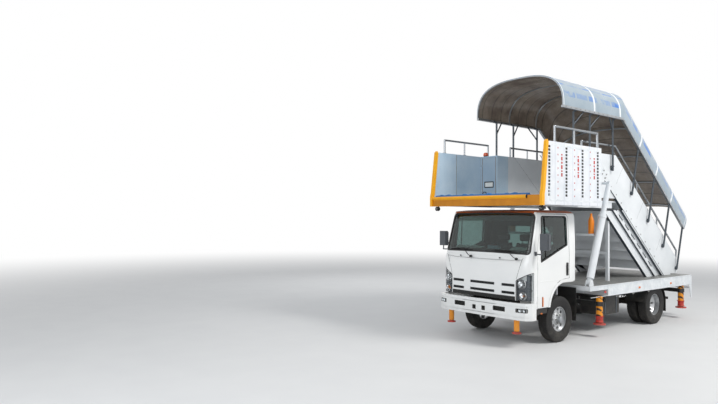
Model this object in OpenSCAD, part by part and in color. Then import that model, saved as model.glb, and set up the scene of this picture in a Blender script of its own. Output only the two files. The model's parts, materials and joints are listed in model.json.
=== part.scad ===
// Self-propelled aircraft passenger stairs on a light truck chassis, in millimetres.
// +Z is up, the front of the truck faces -Y and +X is the left side of the truck.
// The origin is on the ground, at the middle of the length and the width.
// Places along the truck are given from the front axle and moved by fy.

/* [Chassis] */
// Distance between the front and the rear axle
wheelbase = 3365; // [3300:5:3450]
// Half of the distance between the middles of the front tyres
front_track_half = 845; // [835:1:855]
// Half of the distance between the middles of the rear twin tyres
rear_track_half = 855; // [850:1:865]
// Height of the top of the frame rails
rail_top_z = 745; // [730:1:750]
// Height of each frame rail
rail_h = 190; // [160:1:200]
// Outer width over the two frame rails
rail_span = 850; // [800:1:860]
// Thickness of the frame rail's web and flanges
rail_t = 7; // [5:1:10]

/* [Wheels] */
// Outer radius of every tyre
tyre_r = 410; // [400:1:415]
// Width of one tyre
tyre_w = 205; // [190:1:215]
// Radius of the rim where the tyre seats
rim_r = 222; // [205:1:235]
// Radius of the ventilation holes in the wheel disc
vent_r = 28; // [20:1:32]

/* [Cab] */
// Half of the cab's width
cab_half = 984; // [975:1:984]
// Thickness of the cab's walls
wall_t = 35; // [28:1:40]
// Distance from the front axle forward to the nose panel
nose_y = 1020; // [1000:1:1030]
// Distance from the front axle back to the cab's rear wall
cab_back_y = 450; // [440:1:460]
// Height of the cab's roof at its middle
roof_z = 2372; // [2350:1:2375]
// Height of the windscreen's lower edge
screen_low_z = 1590; // [1580:1:1600]
// Height of the windscreen's upper edge
screen_top_z = 2312; // [2305:1:2315]
// Height of the doors' lower edge
sill_z = 660; // [650:1:680]
// Clearance round each door in its frame
door_gap = 8; // [8:1:10]
// Thickness of the cab's glass
glass_t = 6; // [5:1:8]

/* [Deck] */
// Half of the deck's width
deck_half = 1135; // [1120:1:1145]
// Height of the deck's surface
deck_z = 965; // [960:1:975]
// Depth of the deck's edge channel
deck_edge_h = 220; // [200:1:230]
// Distance from the front axle to the front edge of the deck
deck_front_y = 680; // [660:1:690]
// Distance from the front axle to the front of the deck's deep edge channels
deck_deep_y = 1310; // [1290:1:1330]
// Distance from the front axle to the rear of the deck
deck_rear_y = 4970; // [4960:1:5000]

/* [Stairs] */
// Height of one step
step_rise = 200; // [198:1:202]
// Depth of one step from nosing to nosing
step_run = 250; // [248:1:252]
// Thickness of a tread plate
tread_t = 24; // [20:1:26]
// Half of the width inside the side panels
stair_half = 810; // [800:1:815]
// Thickness of the side panels beside the steps
panel_t = 40; // [36:1:42]
// Depth of the guide rail that carries the upper flight
guide_h = 215; // [200:1:220]
// Clearance between two flights that slide on each other
flight_gap = 10; // [8:1:12]
// Gap under the slide pads of a flight
pad_gap = 0.3; // [0.2:0.1:0.5]
// Travel of the upper flight along the slope
stage_travel = 3000; // [2800:10:3040]

/* [Platform] */
// Half of the width over the platform's side walls
plat_half = 1286; // [1275:1:1290]
// Height of the platform's floor
plat_z = 2580; // [2575:1:2590]
// Height of the underside of the platform's frame
plat_low_z = 2432; // [2430:1:2440]
// Height of the platform's walls
wall_top_z = 3515; // [3500:1:3530]
// Distance from the front axle forward to the wall's upper front corner
wall_front_y = 907; // [890:1:920]
// Distance from the front axle forward to the bumper beam's face
plat_front_y = 1050; // [1040:1:1060]
// Distance from the front axle back to the rear of the side walls
wall_rear_y = 810; // [800:1:820]
// Thickness of the platform's side walls
side_t = 45; // [40:1:48]

/* [Canopy] */
// Half of the canopy's width
canopy_half = 1000; // [990:1:1010]
// Height of the canopy's eaves over the platform
eave_z = 4270; // [4250:1:4280]
// Rise of the canopy's arch above the eaves
arch_rise = 660; // [640:1:680]
// Thickness of the canopy's sheet
sheet_t = 10; // [8:1:12]
// Distance from the front axle back to the canopy's front edge
canopy_front_y = 20; // [0:1:40]
// Distance from the front axle back to the canopy's lower end
canopy_rear_y = 4985; // [4970:1:4995]

/* [Posts and jacks] */
// Outer radius of the lifting posts' lower tube
post_r = 68; // [66:1:70]
// Length of the posts' tubes that stays in each other when the stairs are raised
post_lap = 210; // [190:5:230]
// Outer radius of the front jacks' barrels
front_barrel_r = 48; // [45:1:50]
// Outer radius of the other jacks' barrels
rear_barrel_r = 60; // [56:1:62]
// Radius of the jacks' rods
rod_r = 26; // [24:1:28]
// Height of the jacks' pads above the ground when raised
pad_z = 236; // [230:1:245]

/* [Hidden] */

// Distance of the lifting posts from the middle, just inside the deck's edge
post_x = deck_half - 70;
// The truck's length, which gives the place of the front axle
bumper_front_y = -1110;
big = 9000;
// Gap between two pieces that lie on each other
touch = 0.3;

// The stair's slope, and places on it: t runs down the slope and n stands square to it
slope = atan(step_rise / step_run);
function t_of(y, z) = y * cos(slope) - z * sin(slope);
function n_of(y, z) = y * sin(slope) + z * cos(slope);
function y_of(n, z) = (n - z * cos(slope)) / sin(slope);
function z_of(n, y) = (n - y * sin(slope)) / cos(slope);
step_pitch = norm([step_rise, step_run]);
// How far the underside of a flight lies below its nosings
flight_depth = step_rise * cos(slope) + tread_t * cos(slope) + 4;

// Nosing lines of the three flights
landing_y = 2378;
upper_n = n_of(landing_y, plat_z);
middle_n = upper_n - flight_depth - flight_gap;
lower_n = middle_n - flight_depth - flight_gap;
steps_upper = 7;
steps_moved = 7;
guide_low_n = upper_n - 120;
guide_high_n = guide_low_n + guide_h;
panel_high_n = upper_n + 590;
middle_low_n = middle_n - flight_depth;
lower_low_n = lower_n - flight_depth;
landing_low_z = plat_low_z - 32;

// The canopy's crown at its lower end is the rearmost point of the whole
bend_n = n_of(2170, eave_z);
bend_y = y_of(bend_n, eave_z);
canopy_t0 = t_of(bend_y, eave_z);
canopy_end_z = z_of(bend_n, canopy_rear_y);
canopy_t1 = t_of(canopy_rear_y, canopy_end_z) - 20;
rearmost_y = canopy_t1 * cos(slope) + (bend_n + arch_rise) * sin(slope);
fy = -(bumper_front_y + rearmost_y) / 2;

// Shapes shared by several pieces
module both_sides() { children(); mirror([1, 0, 0]) children(); }
module on_side(side) { mirror([side > 0 ? 0 : 1, 0, 0]) children(); }
module slab(lo, hi) { translate(lo) cube(hi - lo); }
// A plate cut to a side view, from x0 to x1
module side_plate(x0, x1, outline) {
  translate([x0, 0, 0]) rotate([90, 0, 90]) linear_extrude(x1 - x0) polygon(outline);
}
// A round bar between two points
module bar(p, q, r) {
  d = q - p;
  translate(p) rotate([0, acos(d[2] / norm(d)), atan2(d[1], d[0])]) cylinder(h = norm(d), r = r, $fn = 20);
}
// A tube that runs through a row of points, with a ball in each bend
module tube_run(points, r) {
  for (i = [0 : len(points) - 2]) bar(points[i], points[i + 1], r);
  for (i = [1 : len(points) - 2]) translate(points[i]) sphere(r = r + 0.6, $fn = 20);
}
// A round bar across the truck
module cross_bar(x0, x1, y, z, r, f = 32) {
  translate([x0, y, z]) rotate([0, 90, 0]) cylinder(h = x1 - x0, r = r, $fn = f);
}
// Moves children into the frame of the slope: y is t and z is n
module on_slope() { rotate([-slope, 0, 0]) children(); }

// Chassis
// One frame rail, open to the inside
rail_x = rail_span / 2;
rail_front_y = -820;
rail_rear_y = 4700;
flange_w = 60;
cross_ys = [-700, 1200, 1750, 2500, 4100, 4640];
cross_r = 45;
module frame_rail() {
  rail_low_z = rail_top_z - rail_h;
  slab([rail_x - rail_t, rail_front_y, rail_low_z], [rail_x, rail_rear_y, rail_top_z]);
  for (z = [rail_low_z, rail_top_z - rail_t])
    slab([rail_x - flange_w, rail_front_y, z], [rail_x, rail_rear_y, z + rail_t]);
}
// Jacks: x, y, top of the barrel, radius of the barrel and of the pad
jack_front = [745, -1000, 700, front_barrel_r, 78];
jack_middle = [deck_half - 15, 1020, 760, rear_barrel_r, 112];
jack_rear = [deck_half - 75, 4600, 738, rear_barrel_r, 112];
jack_low_z = pad_z + 44;
jacks = [jack_front, jack_middle, jack_rear];
// Arm that joins a jack's barrel to the frame, with a clamp round the barrel
clamp_t = 12;
arm_z = 585;
horn_z = 560;
// Gap before the bumper, which slants back a little in front of the horns
horn_gap = 1.15;
arm_h = 80;
module jack_arm(j, x_from) {
  difference() {
    union() {
      slab([x_from, j[1] - 35, arm_z], [j[0], j[1] + 35, arm_z + arm_h]);
      translate([j[0], j[1], arm_z]) cylinder(h = arm_h, r = j[3] + clamp_t, $fn = 40);
    }
    translate([j[0], j[1], 0]) cylinder(h = 900, r = j[3] + 0.3, $fn = 40);
  }
}
module chassis_frame() {
  color("dimgray") translate([0, fy, 0]) {
    both_sides() {
      frame_rail();
      jack_arm(jack_front, rail_x - flange_w);
      jack_arm(jack_middle, rail_x - 1);
      jack_arm(jack_rear, rail_x - 1);
      // Horns that carry the front jacks and the bumper
      slab([rail_x - flange_w, bumper_front_y + bumper_t + horn_gap, horn_z], [rail_x, rail_front_y + 1, horn_z + 38]);
      // Cab mounts
      for (y = [-700, 340]) slab([rail_x - flange_w, y - 30, rail_top_z - 1], [rail_x, y + 30, cab_floor_z - floor_t - touch]);
      // Engine bearers
      slab([engine_half + touch, -80, 580], [rail_x - flange_w + 1, 80, 620]);
      slab([rail_x - flange_w, -80, 580], [rail_x - rail_t + 1, 80, 620]);
    }
    for (y = cross_ys) cross_bar(-rail_x + 3, rail_x - 3, y, rail_top_z - rail_h / 2, cross_r);
  }
}
module jack_barrels() {
  color("darkorange") translate([0, fy, 0]) both_sides() for (j = jacks)
    translate([j[0], j[1], jack_low_z]) difference() {
      union() {
        cylinder(h = j[2] - jack_low_z - 12, r = j[3], $fn = 40);
        translate([0, 0, j[2] - jack_low_z - 12]) cylinder(h = 12, r1 = j[3], r2 = j[3] - 14, $fn = 40);
      }
      translate([0, 0, -1]) cylinder(h = j[2] - jack_low_z - 19, r = rod_r + 0.3, $fn = 40);
    }
}

// Axles
king_x = 700;
king_r = 17;
boss_h = 74;
boss_low_z = tyre_r - boss_h / 2;
ear_h = 29;
ear_gap = 0.5;
spring_x = 395;
spring_z = 470;
eye_r = 24;
pin_gap = 0.3;
// A leaf spring: front eye, pack of leaves and rear eye, under the frame rail
module leaf_spring(y, half_len, z_mid, z_eye, leaves) {
  r_bend = (half_len * half_len + pow(z_eye - z_mid, 2)) / (2 * (z_eye - z_mid));
  leaf_t = 10;
  for (i = [0 : leaves - 1]) {
    reach = half_len * (1 - i / (leaves + 1.0));
    translate([spring_x - 35, y, z_mid + r_bend]) intersection() {
      rotate([0, 90, 0]) difference() {
        cylinder(h = 70, r = r_bend + (i + 1) * leaf_t, $fn = 180);
        translate([0, 0, -1]) cylinder(h = 72, r = r_bend + i * leaf_t - 0.01, $fn = 180);
      }
      translate([-1, -reach, -r_bend - 100]) cube([72, 2 * reach, r_bend]);
    }
  }
  for (s = [-1, 1]) cross_bar(spring_x - 35, spring_x + 35, y + s * half_len, z_eye + eye_r - 4, eye_r);
}
// Bracket from the frame rail down to a spring's eye
module spring_hanger(y, z) {
  slab([spring_x - 29, y - 26, z], [spring_x + 29, y + 26, rail_top_z - rail_h]);
}
module front_axle() {
  beam_z = 380;
  color("dimgray") translate([0, fy, 0]) {
    slab([-king_x + 70, -38, beam_z - 42], [king_x - 70, 38, beam_z + 42]);
    both_sides() {
      difference() {
        union() {
          hull() {
            slab([king_x - 90, -38, beam_z - 42], [king_x - 70, 38, beam_z + 42]);
            slab([king_x - 50, -34, boss_low_z], [king_x - 40, 34, boss_low_z + boss_h]);
          }
          slab([king_x - 50, -34, boss_low_z], [king_x, 34, boss_low_z + boss_h]);
          translate([king_x, 0, boss_low_z]) cylinder(h = boss_h, r = 38, $fn = 36);
        }
        translate([king_x, 0, 0]) cylinder(h = 900, r = king_r + pin_gap, $fn = 36);
      }
      leaf_spring(0, 560, beam_z + 72, rail_top_z - rail_h - 52, 3);
      for (y = [-560, 560]) spring_hanger(y, rail_top_z - rail_h - 52 + eye_r);
    }
  }
}
module rear_axle() {
  color("dimgray") translate([0, fy + wheelbase, 0]) {
    cross_bar(-650, 650, 0, tyre_r, 58);
    both_sides() cross_bar(640, stub_end_x, 0, tyre_r, stub_r);
    // Housing of the final drive and its nose
    translate([0, 80, tyre_r]) rotate([90, 0, 0]) cylinder(h = 160, r = 160, $fn = 48);
    translate([0, -79, tyre_r]) rotate([90, 0, 0]) cylinder(h = 71, r1 = 130, r2 = 90, $fn = 40);
    translate([0, -149, tyre_r]) rotate([90, 0, 0]) cylinder(h = 111, r1 = 84, r2 = 52, $fn = 36);
    both_sides() translate([130, 0, tyre_r]) rotate([0, 90, 0]) cylinder(h = 170, r1 = 100, r2 = 64, $fn = 40);
    both_sides() {
      leaf_spring(0, 620, tyre_r + 86, rail_top_z - rail_h - 50, 3);
      for (y = [-620, 620]) spring_hanger(y, rail_top_z - rail_h - 50 + eye_r);
    }
  }
}
engine_half = 280;
// Engine and gearbox as plain masses under the cab, and the shaft to the rear axle
module driveline() {
  shaft_front = [0, 1080, 560];
  shaft_end = [0, wheelbase - 263.6, tyre_r + 2];
  color("gray") translate([0, fy, 0]) {
    slab([-engine_half, -390, 470], [engine_half, 330, 1080]);
    hull() {
      slab([-210, 330, 480], [210, 345, 860]);
      slab([-120, 820, 490], [120, 830, 700]);
    }
    slab([-110, 825, 500], [110, 1080, 640]);
    bar(shaft_front, shaft_end, 45);
  }
}

// Steering knuckles and wheels
stub_r = 32;
stub_end_x = 905;
hub_gap = 0.3;
front_stub_end_x = 930;
module steering_knuckle(side) {
  color("dimgray") translate([0, fy, 0]) on_side(side) {
    // Upper and lower ears, the king pin through them and the stub axle
    for (z = [boss_low_z - ear_gap - ear_h, boss_low_z + boss_h + ear_gap])
      hull() {
        translate([king_x, 0, z]) cylinder(h = ear_h, r = 36, $fn = 32);
        slab([king_x + 46, -40, z], [king_x + 60, 40, z + ear_h]);
      }
    slab([king_x + 44, -44, boss_low_z - ear_gap - ear_h], [king_x + 62, 44, boss_low_z + boss_h + ear_gap + ear_h]);
    translate([king_x, 0, boss_low_z - ear_gap - ear_h + 1]) cylinder(h = boss_h + 2 * ear_h - 1, r = king_r, $fn = 36);
    cross_bar(king_x + 55, front_stub_end_x, 0, tyre_r, stub_r);
    // Steering arm to the rear
    slab([king_x - 20, 0, boss_low_z - ear_gap - ear_h], [king_x + 20, 190, boss_low_z - ear_gap - ear_h + 18]);
  }
}
// Tyre section: half width and radius of each corner, from bead to tread
tyre_section = [[-0.36, 0], [-0.48, 0.25], [-0.5, 0.5], [-0.43, 0.88], [-0.22, 1],
  [0.22, 1], [0.43, 0.88], [0.5, 0.5], [0.48, 0.25], [0.36, 0]];
module tyre(x) {
  bead_r = rim_r + 0.3;
  translate([x, 0, 0]) rotate([0, 90, 0]) rotate_extrude($fn = 48)
    polygon([for (c = tyre_section) [bead_r + c[1] * (tyre_r - bead_r), c[0] * tyre_w]]);
}
// Wheel: rim barrel, dished disc with round vents and the hub that turns on the stub axle
rim_w = 0.36;
module rim(x) {
  half = rim_w * tyre_w;
  translate([x - half, 0, 0]) rotate([0, 90, 0]) difference() {
    cylinder(h = 2 * half, r = rim_r, $fn = 64);
    translate([0, 0, -1]) cylinder(h = 2 * half + 2, r = rim_r - 12, $fn = 64);
  }
}
vents = 8;
module front_wheel(side) {
  disc_x = front_track_half + 38;
  color("silver") translate([0, fy, tyre_r]) on_side(side) {
    rim(front_track_half);
    difference() {
      union() {
        cross_bar(disc_x - 12, disc_x, 0, 0, rim_r - 11, 64);
        translate([disc_x - 2, 0, 0]) rotate([0, 90, 0]) cylinder(h = 22, r1 = 118, r2 = 104, $fn = 48);
        cross_bar(front_track_half - 50, front_stub_end_x + 14, 0, 0, 62, 48);
      }
      cross_bar(0, front_stub_end_x + 1, 0, 0, stub_r + hub_gap, 48);
      for (i = [0 : vents - 1]) rotate([i * 360 / vents, 0, 0]) cross_bar(disc_x - 20, disc_x + 60, 0, 160, vent_r, 24);
    }
  }
}
twin_gap = 33;
twin_x = (tyre_w + twin_gap) / 2;
// The two dished discs of a twin wheel, which meet in the middle: radius and x of each corner
function twin_discs(inner_x, mid_x, outer_x) = [[rim_r - 11, inner_x + 22], [rim_r - 11, inner_x + 36], [150, mid_x],
  [rim_r - 11, outer_x - 36], [rim_r - 11, outer_x - 22], [144, mid_x + 12], [60, mid_x + 12], [60, mid_x - 12],
  [144, mid_x - 12]];
module rear_wheels(side) {
  inner_x = rear_track_half - twin_x;
  outer_x = rear_track_half + twin_x;
  mid_x = rear_track_half;
  color("silver") translate([0, fy + wheelbase, tyre_r]) on_side(side) {
    rim(inner_x);
    rim(outer_x);
    difference() {
      union() {
        rotate([0, 90, 0]) rotate_extrude($fn = 64) polygon(twin_discs(inner_x, mid_x, outer_x));
        cross_bar(mid_x - 60, stub_end_x + 24, 0, 0, 72, 48);
      }
      cross_bar(0, stub_end_x + 1, 0, 0, stub_r + hub_gap, 48);
      for (i = [0 : vents - 1]) rotate([i * 360 / vents, 0, 0]) cross_bar(mid_x - 140, mid_x + 140, 0, 180, vent_r - 9, 24);
    }
  }
}
module front_tyre(side) { color("black") translate([0, fy, tyre_r]) on_side(side) tyre(front_track_half); }
module rear_tyres(side) {
  color("black") translate([0, fy + wheelbase, tyre_r]) on_side(side)
    for (s = [-1, 1]) tyre(rear_track_half + s * twin_x);
}

// Cab
nose_foot_z = 800;
nose_top_z = 1540;
nose_t = 60;
cab_floor_z = 1090;
floor_t = 35;
screen_low_y = -965;
screen_top_y = -756;
// How far the nose and the windscreen bend back towards the sides, u = 0 in the middle and 1 at the side
bow_steps = 20;
function bow_u(i) = sin(-90 + 180 * i / bow_steps);
function nose_bow(u) = 28 * u * u + 100 * pow(abs(u), 16);
function screen_bow(u) = 45 * u * u + 90 * pow(abs(u), 24);
// Corners of the body's side view: y, z and the direction in which each one moves for an inner surface
side_rows = [[-nose_y, sill_z, 1, 0], [-nose_y, 1380, 1, 0], [screen_low_y, screen_low_z, 1, 0], [screen_top_y, screen_top_z, 1, -0.3],
  [screen_top_y + 28, roof_z - 38, 0.8, -0.6], [-640, roof_z - 27, 0.3, -1], [-440, roof_z - 6, 0, -1], [-300, roof_z, 0, -1],
  [cab_back_y - 90, roof_z - 6, 0, -1], [cab_back_y - 22, roof_z - 55, -0.7, -0.7], [cab_back_y, roof_z - 130, -1, 0],
  [cab_back_y, sill_z, -1, 0]];
// Corners of the left half of the body's front view: x, z and the direction inward
front_rows = [[cab_half, sill_z, -1, 0], [cab_half, 1560, -1, 0], [cab_half - 37, 2270, -1, 0], [cab_half - 48, 2312, -1, -0.4],
  [cab_half - 78, 2342, -0.7, -0.8], [cab_half - 150, 2360, -0.2, -1], [600, roof_z - 4, 0, -1], [0, roof_z, 0, -1]];
function moved(r, d) = [r[0] + d * r[2], r[1] + d * r[3]];
function front_half(d) = [for (r = front_rows) moved(r, d)];
function mirrored(points) = [for (i = [len(points) - 2 : -1 : 0]) [-points[i][0], points[i][1]]];
// Front edge of the body seen from above, d inside its surface
function nose_edge(d) = [for (i = [0 : bow_steps]) [(cab_half - d) * bow_u(i), -nose_y + d + nose_bow(bow_u(i))]];
function plan_outline(d) = concat(nose_edge(d), [[cab_half - d, cab_back_y - d - 45], [cab_half - d - 13, cab_back_y - d - 13],
  [cab_half - d - 45, cab_back_y - d], [-cab_half + d + 45, cab_back_y - d], [-cab_half + d + 13, cab_back_y - d - 13],
  [-cab_half + d, cab_back_y - d - 45]]);
// Slope of the windscreen in side view
screen_lean = atan2(screen_top_y - screen_low_y, screen_top_z - screen_low_z);
screen_len = norm([screen_top_y - screen_low_y, screen_top_z - screen_low_z]);
module on_screen() { translate([0, screen_low_y, screen_low_z]) rotate([-screen_lean, 0, 0]) children(); }
// Space behind the windscreen's surface, d inside it
module behind_screen(d) {
  on_screen() translate([0, 0, -big / 2]) linear_extrude(big)
    polygon(concat([for (i = [0 : bow_steps]) [cab_half * 1.02 * bow_u(i), d + cos(screen_lean) * screen_bow(bow_u(i))]],
      [[cab_half * 1.02, big], [-cab_half * 1.02, big]]));
}
// The whole body, d inside its surface
module body(d) {
  intersection() {
    side_plate(-cab_half - 20, cab_half + 20, [for (r = side_rows) moved(r, d)]);
    linear_extrude(big) polygon(plan_outline(d));
    translate([0, big / 2, 0]) rotate([90, 0, 0]) linear_extrude(big) polygon(concat(front_half(d), mirrored(front_half(d))));
    behind_screen(d);
  }
}
// Space in front of the surface that lies d behind the nose
module front_zone(d, z0, z1) {
  translate([0, 0, z0]) linear_extrude(z1 - z0)
    polygon(concat(nose_edge(0) + [for (i = [0 : bow_steps]) [0, d]], [[cab_half + 60, -nose_y + 185 + d], [cab_half + 60, -nose_y - 200],
      [-cab_half - 60, -nose_y - 200], [-cab_half - 60, -nose_y + 185 + d]]));
}
roof_split_z = screen_top_z + 10;
roof_t = 22;
// A closed outline moved inward by d, with its corners in counter-clockwise order
function moved_in(p, d) = [for (i = [0 : len(p) - 1])
  let (a = p[(i + len(p) - 1) % len(p)], b = p[i], c = p[(i + 1) % len(p)],
    u = (b - a) / norm(b - a), v = (c - b) / norm(c - b), m = [-u[1], u[0]], n = [-v[1], v[0]])
  b + d * (m + n) / (1 + m * n)];
// Wheel arch and door opening in side view, with the door's edge round the arch
arch_c = [110, 600];
arch_r = 475;
function arch_arc(r, a0, a1, steps) = [for (i = [0 : steps]) let (a = a0 + (a1 - a0) * i / steps) arch_c + r * [cos(a), sin(a)]];
arch_outline = concat([[arch_c[0] - arch_r, 0]], arch_arc(arch_r, 180, 90, 10), [[cab_back_y + 60, 1085], [cab_back_y + 60, 0]]);
door_front_y = -745;
door_rear_y = 235;
door_top_z = 2294;
door_arc_r = arch_r + 55;
door_outline = concat([[door_front_y, sill_z]], arch_arc(door_arc_r, 173.5, 90, 9), [[door_rear_y, 1137], [door_rear_y, door_top_z - 50],
  [door_rear_y - 50, door_top_z], [-600, door_top_z], [door_front_y, 1640]]);
// The door's window, whose lower edge falls to the front
window_outline = [[-640, 1452], [178, 1738], [178, 2216], [145, 2252], [-568, 2252], [-590, 2236], [-636, 1700]];
door_t = 34;
side_wall_x = cab_half - 90;
module door_cut(outline) { side_plate(side_wall_x, cab_half + 40, outline); }
// The windscreen's outline on its slope: half width and height from its lower edge
screen_half = [[895, 16], [932, 32], [942, 70], [922, screen_len - 76], [898, screen_len - 24], [850, screen_len - 6]];
function full_outline(half) = concat(half, [for (i = [len(half) - 1 : -1 : 0]) [-half[i][0], half[i][1]]]);
module screen_shape(outline, y0, y1) {
  on_screen() translate([0, y1, 0]) rotate([90, 0, 0]) linear_extrude(y1 - y0) polygon(outline);
}
rear_window = [[-520, 1640], [520, 2060]];
// Step inside each door: a box that is open above and to the door
step_box = [[640, -760, sill_z + 1], [cab_half - wall_t + 1, -440, cab_floor_z - floor_t + 1]];
step_t = 20;
// Door hinges: axis, heights of the lower ends and sizes of the knuckles
hinge_x = cab_half + 9;
hinge_y = door_front_y + 3;
hinge_r = 8;
hinge_pin_r = 4;
hinge_h = 34;
hinge_zs = [760, 1380];
module hinge_leaf(z, toward) {
  translate([hinge_x, hinge_y, z]) cylinder(h = hinge_h, r = hinge_r, $fn = 24);
  slab([cab_half - 1, min(hinge_y, hinge_y + toward), z], [hinge_x + 2, max(hinge_y, hinge_y + toward), z + hinge_h]);
}
module cab_shell() {
  color("white") translate([0, fy, 0]) {
    difference() {
      body(0);
      // Space inside, behind the front wall
      difference() {
        intersection() {
          body(wall_t);
          slab([-big, -big, cab_floor_z], [big, big, big]);
        }
        front_zone(nose_t + wall_t, 0, nose_top_z + wall_t);
      }
      // The roof skin, the nose panel and the doors are pieces of their own
      slab([-big, -big, roof_split_z], [big, big, big]);
      front_zone(nose_t, 0, nose_top_z);
      screen_shape(full_outline(screen_half), -100, 200);
      slab([rear_window[0][0], cab_back_y - 100, rear_window[0][1]], [rear_window[1][0], cab_back_y + 50, rear_window[1][1]]);
      both_sides() door_cut(door_outline);
      both_sides() side_plate(cab_half - wall_t - 20, cab_half + 60, arch_outline);
      // Open below the floor, with the tunnel for the engine
      slab([-cab_half + wall_t, -nose_y - 10, 0], [cab_half - wall_t, cab_back_y + 10, cab_floor_z - floor_t]);
      slab([-300, -560, 0], [300, cab_back_y + 10, cab_floor_z + 30]);
      both_sides() slab(step_box[0] + [step_t, step_t, 0], step_box[1] - [0, step_t, -80]);
    }
    // Raised engine cover in the floor
    difference() {
      slab([-330, -590, cab_floor_z - floor_t], [330, cab_back_y - wall_t + 1, cab_floor_z + 60]);
      slab([-300, -560, 0], [300, cab_back_y, cab_floor_z + 30]);
    }
    both_sides() {
      difference() {
        slab(step_box[0], step_box[1]);
        slab(step_box[0] + [step_t, step_t, step_t], step_box[1] + [-wall_t, -step_t, 10]);
        slab(step_box[0] + [step_t, step_t, step_t], step_box[1] + [10, -step_t, 10]);
      }
      for (z = hinge_zs) {
        hinge_leaf(z, -24);
        translate([hinge_x, hinge_y, z]) cylinder(h = 2 * hinge_h + touch, r = hinge_pin_r, $fn = 24);
      }
    }
  }
}
module cab_roof() {
  color("white") translate([0, fy, 0]) difference() {
    body(0);
    body(roof_t);
    slab([-big, -big, 0], [big, big, roof_split_z + touch]);
  }
}
// Grille slots: start and end of each column, lower edge of each row
slot_cols = [[-700, -430], [-276, 276], [430, 700]];
slot_rows = [898, 1030];
slot_h = 46;
// Headlamp's front view: x and z of each corner, the outer corner wraps round the side
lamp_outline = [[735, 800], [cab_half + 20, 800], [cab_half + 20, 1290], [850, 1210], [735, 1150]];
lamp_rear_y = -848;
module lamp_shape(gap) {
  both_sides() translate([0, lamp_rear_y + gap, 0]) rotate([90, 0, 0]) linear_extrude(300) polygon(moved_in(lamp_outline, -gap));
}
module nose_panel() {
  color("white") translate([0, fy, 0]) difference() {
    intersection() {
      body(0);
      front_zone(nose_t - touch, nose_foot_z, nose_top_z - touch);
    }
    for (c = slot_cols, z = slot_rows) slab([c[0], -nose_y - 50, z], [c[1], -nose_y + 120, z + slot_h]);
    lamp_shape(touch);
  }
}
module headlamps() {
  color("whitesmoke") translate([0, fy, 0]) intersection() {
    body(0);
    front_zone(nose_t - touch, nose_foot_z, nose_top_z);
    lamp_shape(0);
  }
}
bumper_half = 1030;
bumper_low_z = 480;
bumper_top_z = 768;
bumper_t = 24;
bumper_flange = 46;
// Bumper openings: x and z of two corners
bumper_holes = [[[320, 598], [575, 680]], [[790, 612], [985, 682]], [[65, 570], [145, 650]]];
function bumper_outline(d) = let (b = bumper_half - d, f = bumper_front_y + d, r = -840 + (d > 0 ? 10 : 0))
  [[-b, r], [-b, f + 150], [-b + 70, f + 55], [-b + 190, f + 14], [-400, f], [400, f], [b - 190, f + 14], [b - 70, f + 55],
    [b, f + 150], [b, r]];
module bumper_block(d, z0, z1) { translate([0, 0, z0]) linear_extrude(z1 - z0) polygon(bumper_outline(d)); }
module front_bumper() {
  color("white") translate([0, fy, 0]) difference() {
    bumper_block(0, bumper_low_z, bumper_top_z);
    bumper_block(bumper_t, bumper_low_z + bumper_t, bumper_top_z - bumper_t);
    bumper_block(bumper_flange, bumper_low_z - 1, bumper_top_z + 1);
    for (h = bumper_holes) both_sides() slab([h[0][0], bumper_front_y - 20, h[0][1]], [h[1][0], bumper_front_y + 90, h[1][1]]);
  }
}
module cab_glass() {
  color("lightcyan") translate([0, fy, 0]) {
    intersection() {
      screen_shape(moved_in(full_outline(screen_half), touch), -100, 200);
      difference() {
        behind_screen(8);
        behind_screen(8 + glass_t);
      }
    }
    slab([rear_window[0][0] + touch, cab_back_y - 20, rear_window[0][1] + touch],
      [rear_window[1][0] - touch, cab_back_y - 20 + glass_t, rear_window[1][1] - touch]);
  }
}
// Driver's place on the right of the truck
driver_x = -470;
module dashboard() {
  hub = [driver_x, -560, 1600];
  color("dimgray") translate([0, fy, 0]) {
    difference() {
      intersection() {
        side_plate(-cab_half, cab_half, [[-1000, 1180], [-760, 1180], [-660, 1330], [-640, 1480], [-700, 1550], [-840, 1570],
          [-1000, 1530]]);
        body(wall_t + touch);
      }
      front_zone(nose_t + wall_t + touch, 0, nose_top_z + wall_t + 20);
    }
    bar([driver_x, -760, 1380], hub, 30);
    translate(hub) rotate([28, 0, 0]) {
      rotate_extrude($fn = 48) translate([200, 0]) circle(r = 14, $fn = 12);
      for (a = [90, 210, 330]) rotate([0, 0, a]) bar([0, 0, 0], [200, 0, 0], 10);
    }
  }
}
// Seats: x from and to of each, and of the foot that stands on the floor beside the engine cover
seat_rows = [[-720, -240, -700, -331], [-180, 240, -160, 220], [260, 720, 331, 700]];
module seats() {
  seat_z = cab_floor_z + 60 + touch;
  color("dimgray") translate([0, fy, 0]) for (s = seat_rows) {
    slab([s[0], -260, seat_z], [s[1], 230, 1340]);
    if (abs(s[2]) > 200) slab([s[2], -200, cab_floor_z + touch], [s[3], 180, seat_z + 1]);
    hull() {
      slab([s[0] + 10, 130, 1335], [s[1] - 10, 230, 1345]);
      slab([s[0] + 40, 220, 1900], [s[1] - 40, 300, 1910]);
    }
  }
}
mirror_x = [1070, 1245];
module mirrors() {
  color("black") translate([0, fy, 0]) both_sides() {
    slab([mirror_x[0], -805, 1685], [mirror_x[1], -740, 1935]);
    slab([mirror_x[0] + 14, -822, 1668], [mirror_x[1] - 14, -744, 1952]);
    difference() {
      union() {
        slab([cab_half - 30, -832, 1570], [cab_half + 10, -772, 1640]);
        tube_run([[cab_half - 10, -800, 1600], [1120, -835, 1600], [1150, -790, 1700]], 11);
      }
      body(-touch);
    }
  }
}
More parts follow.
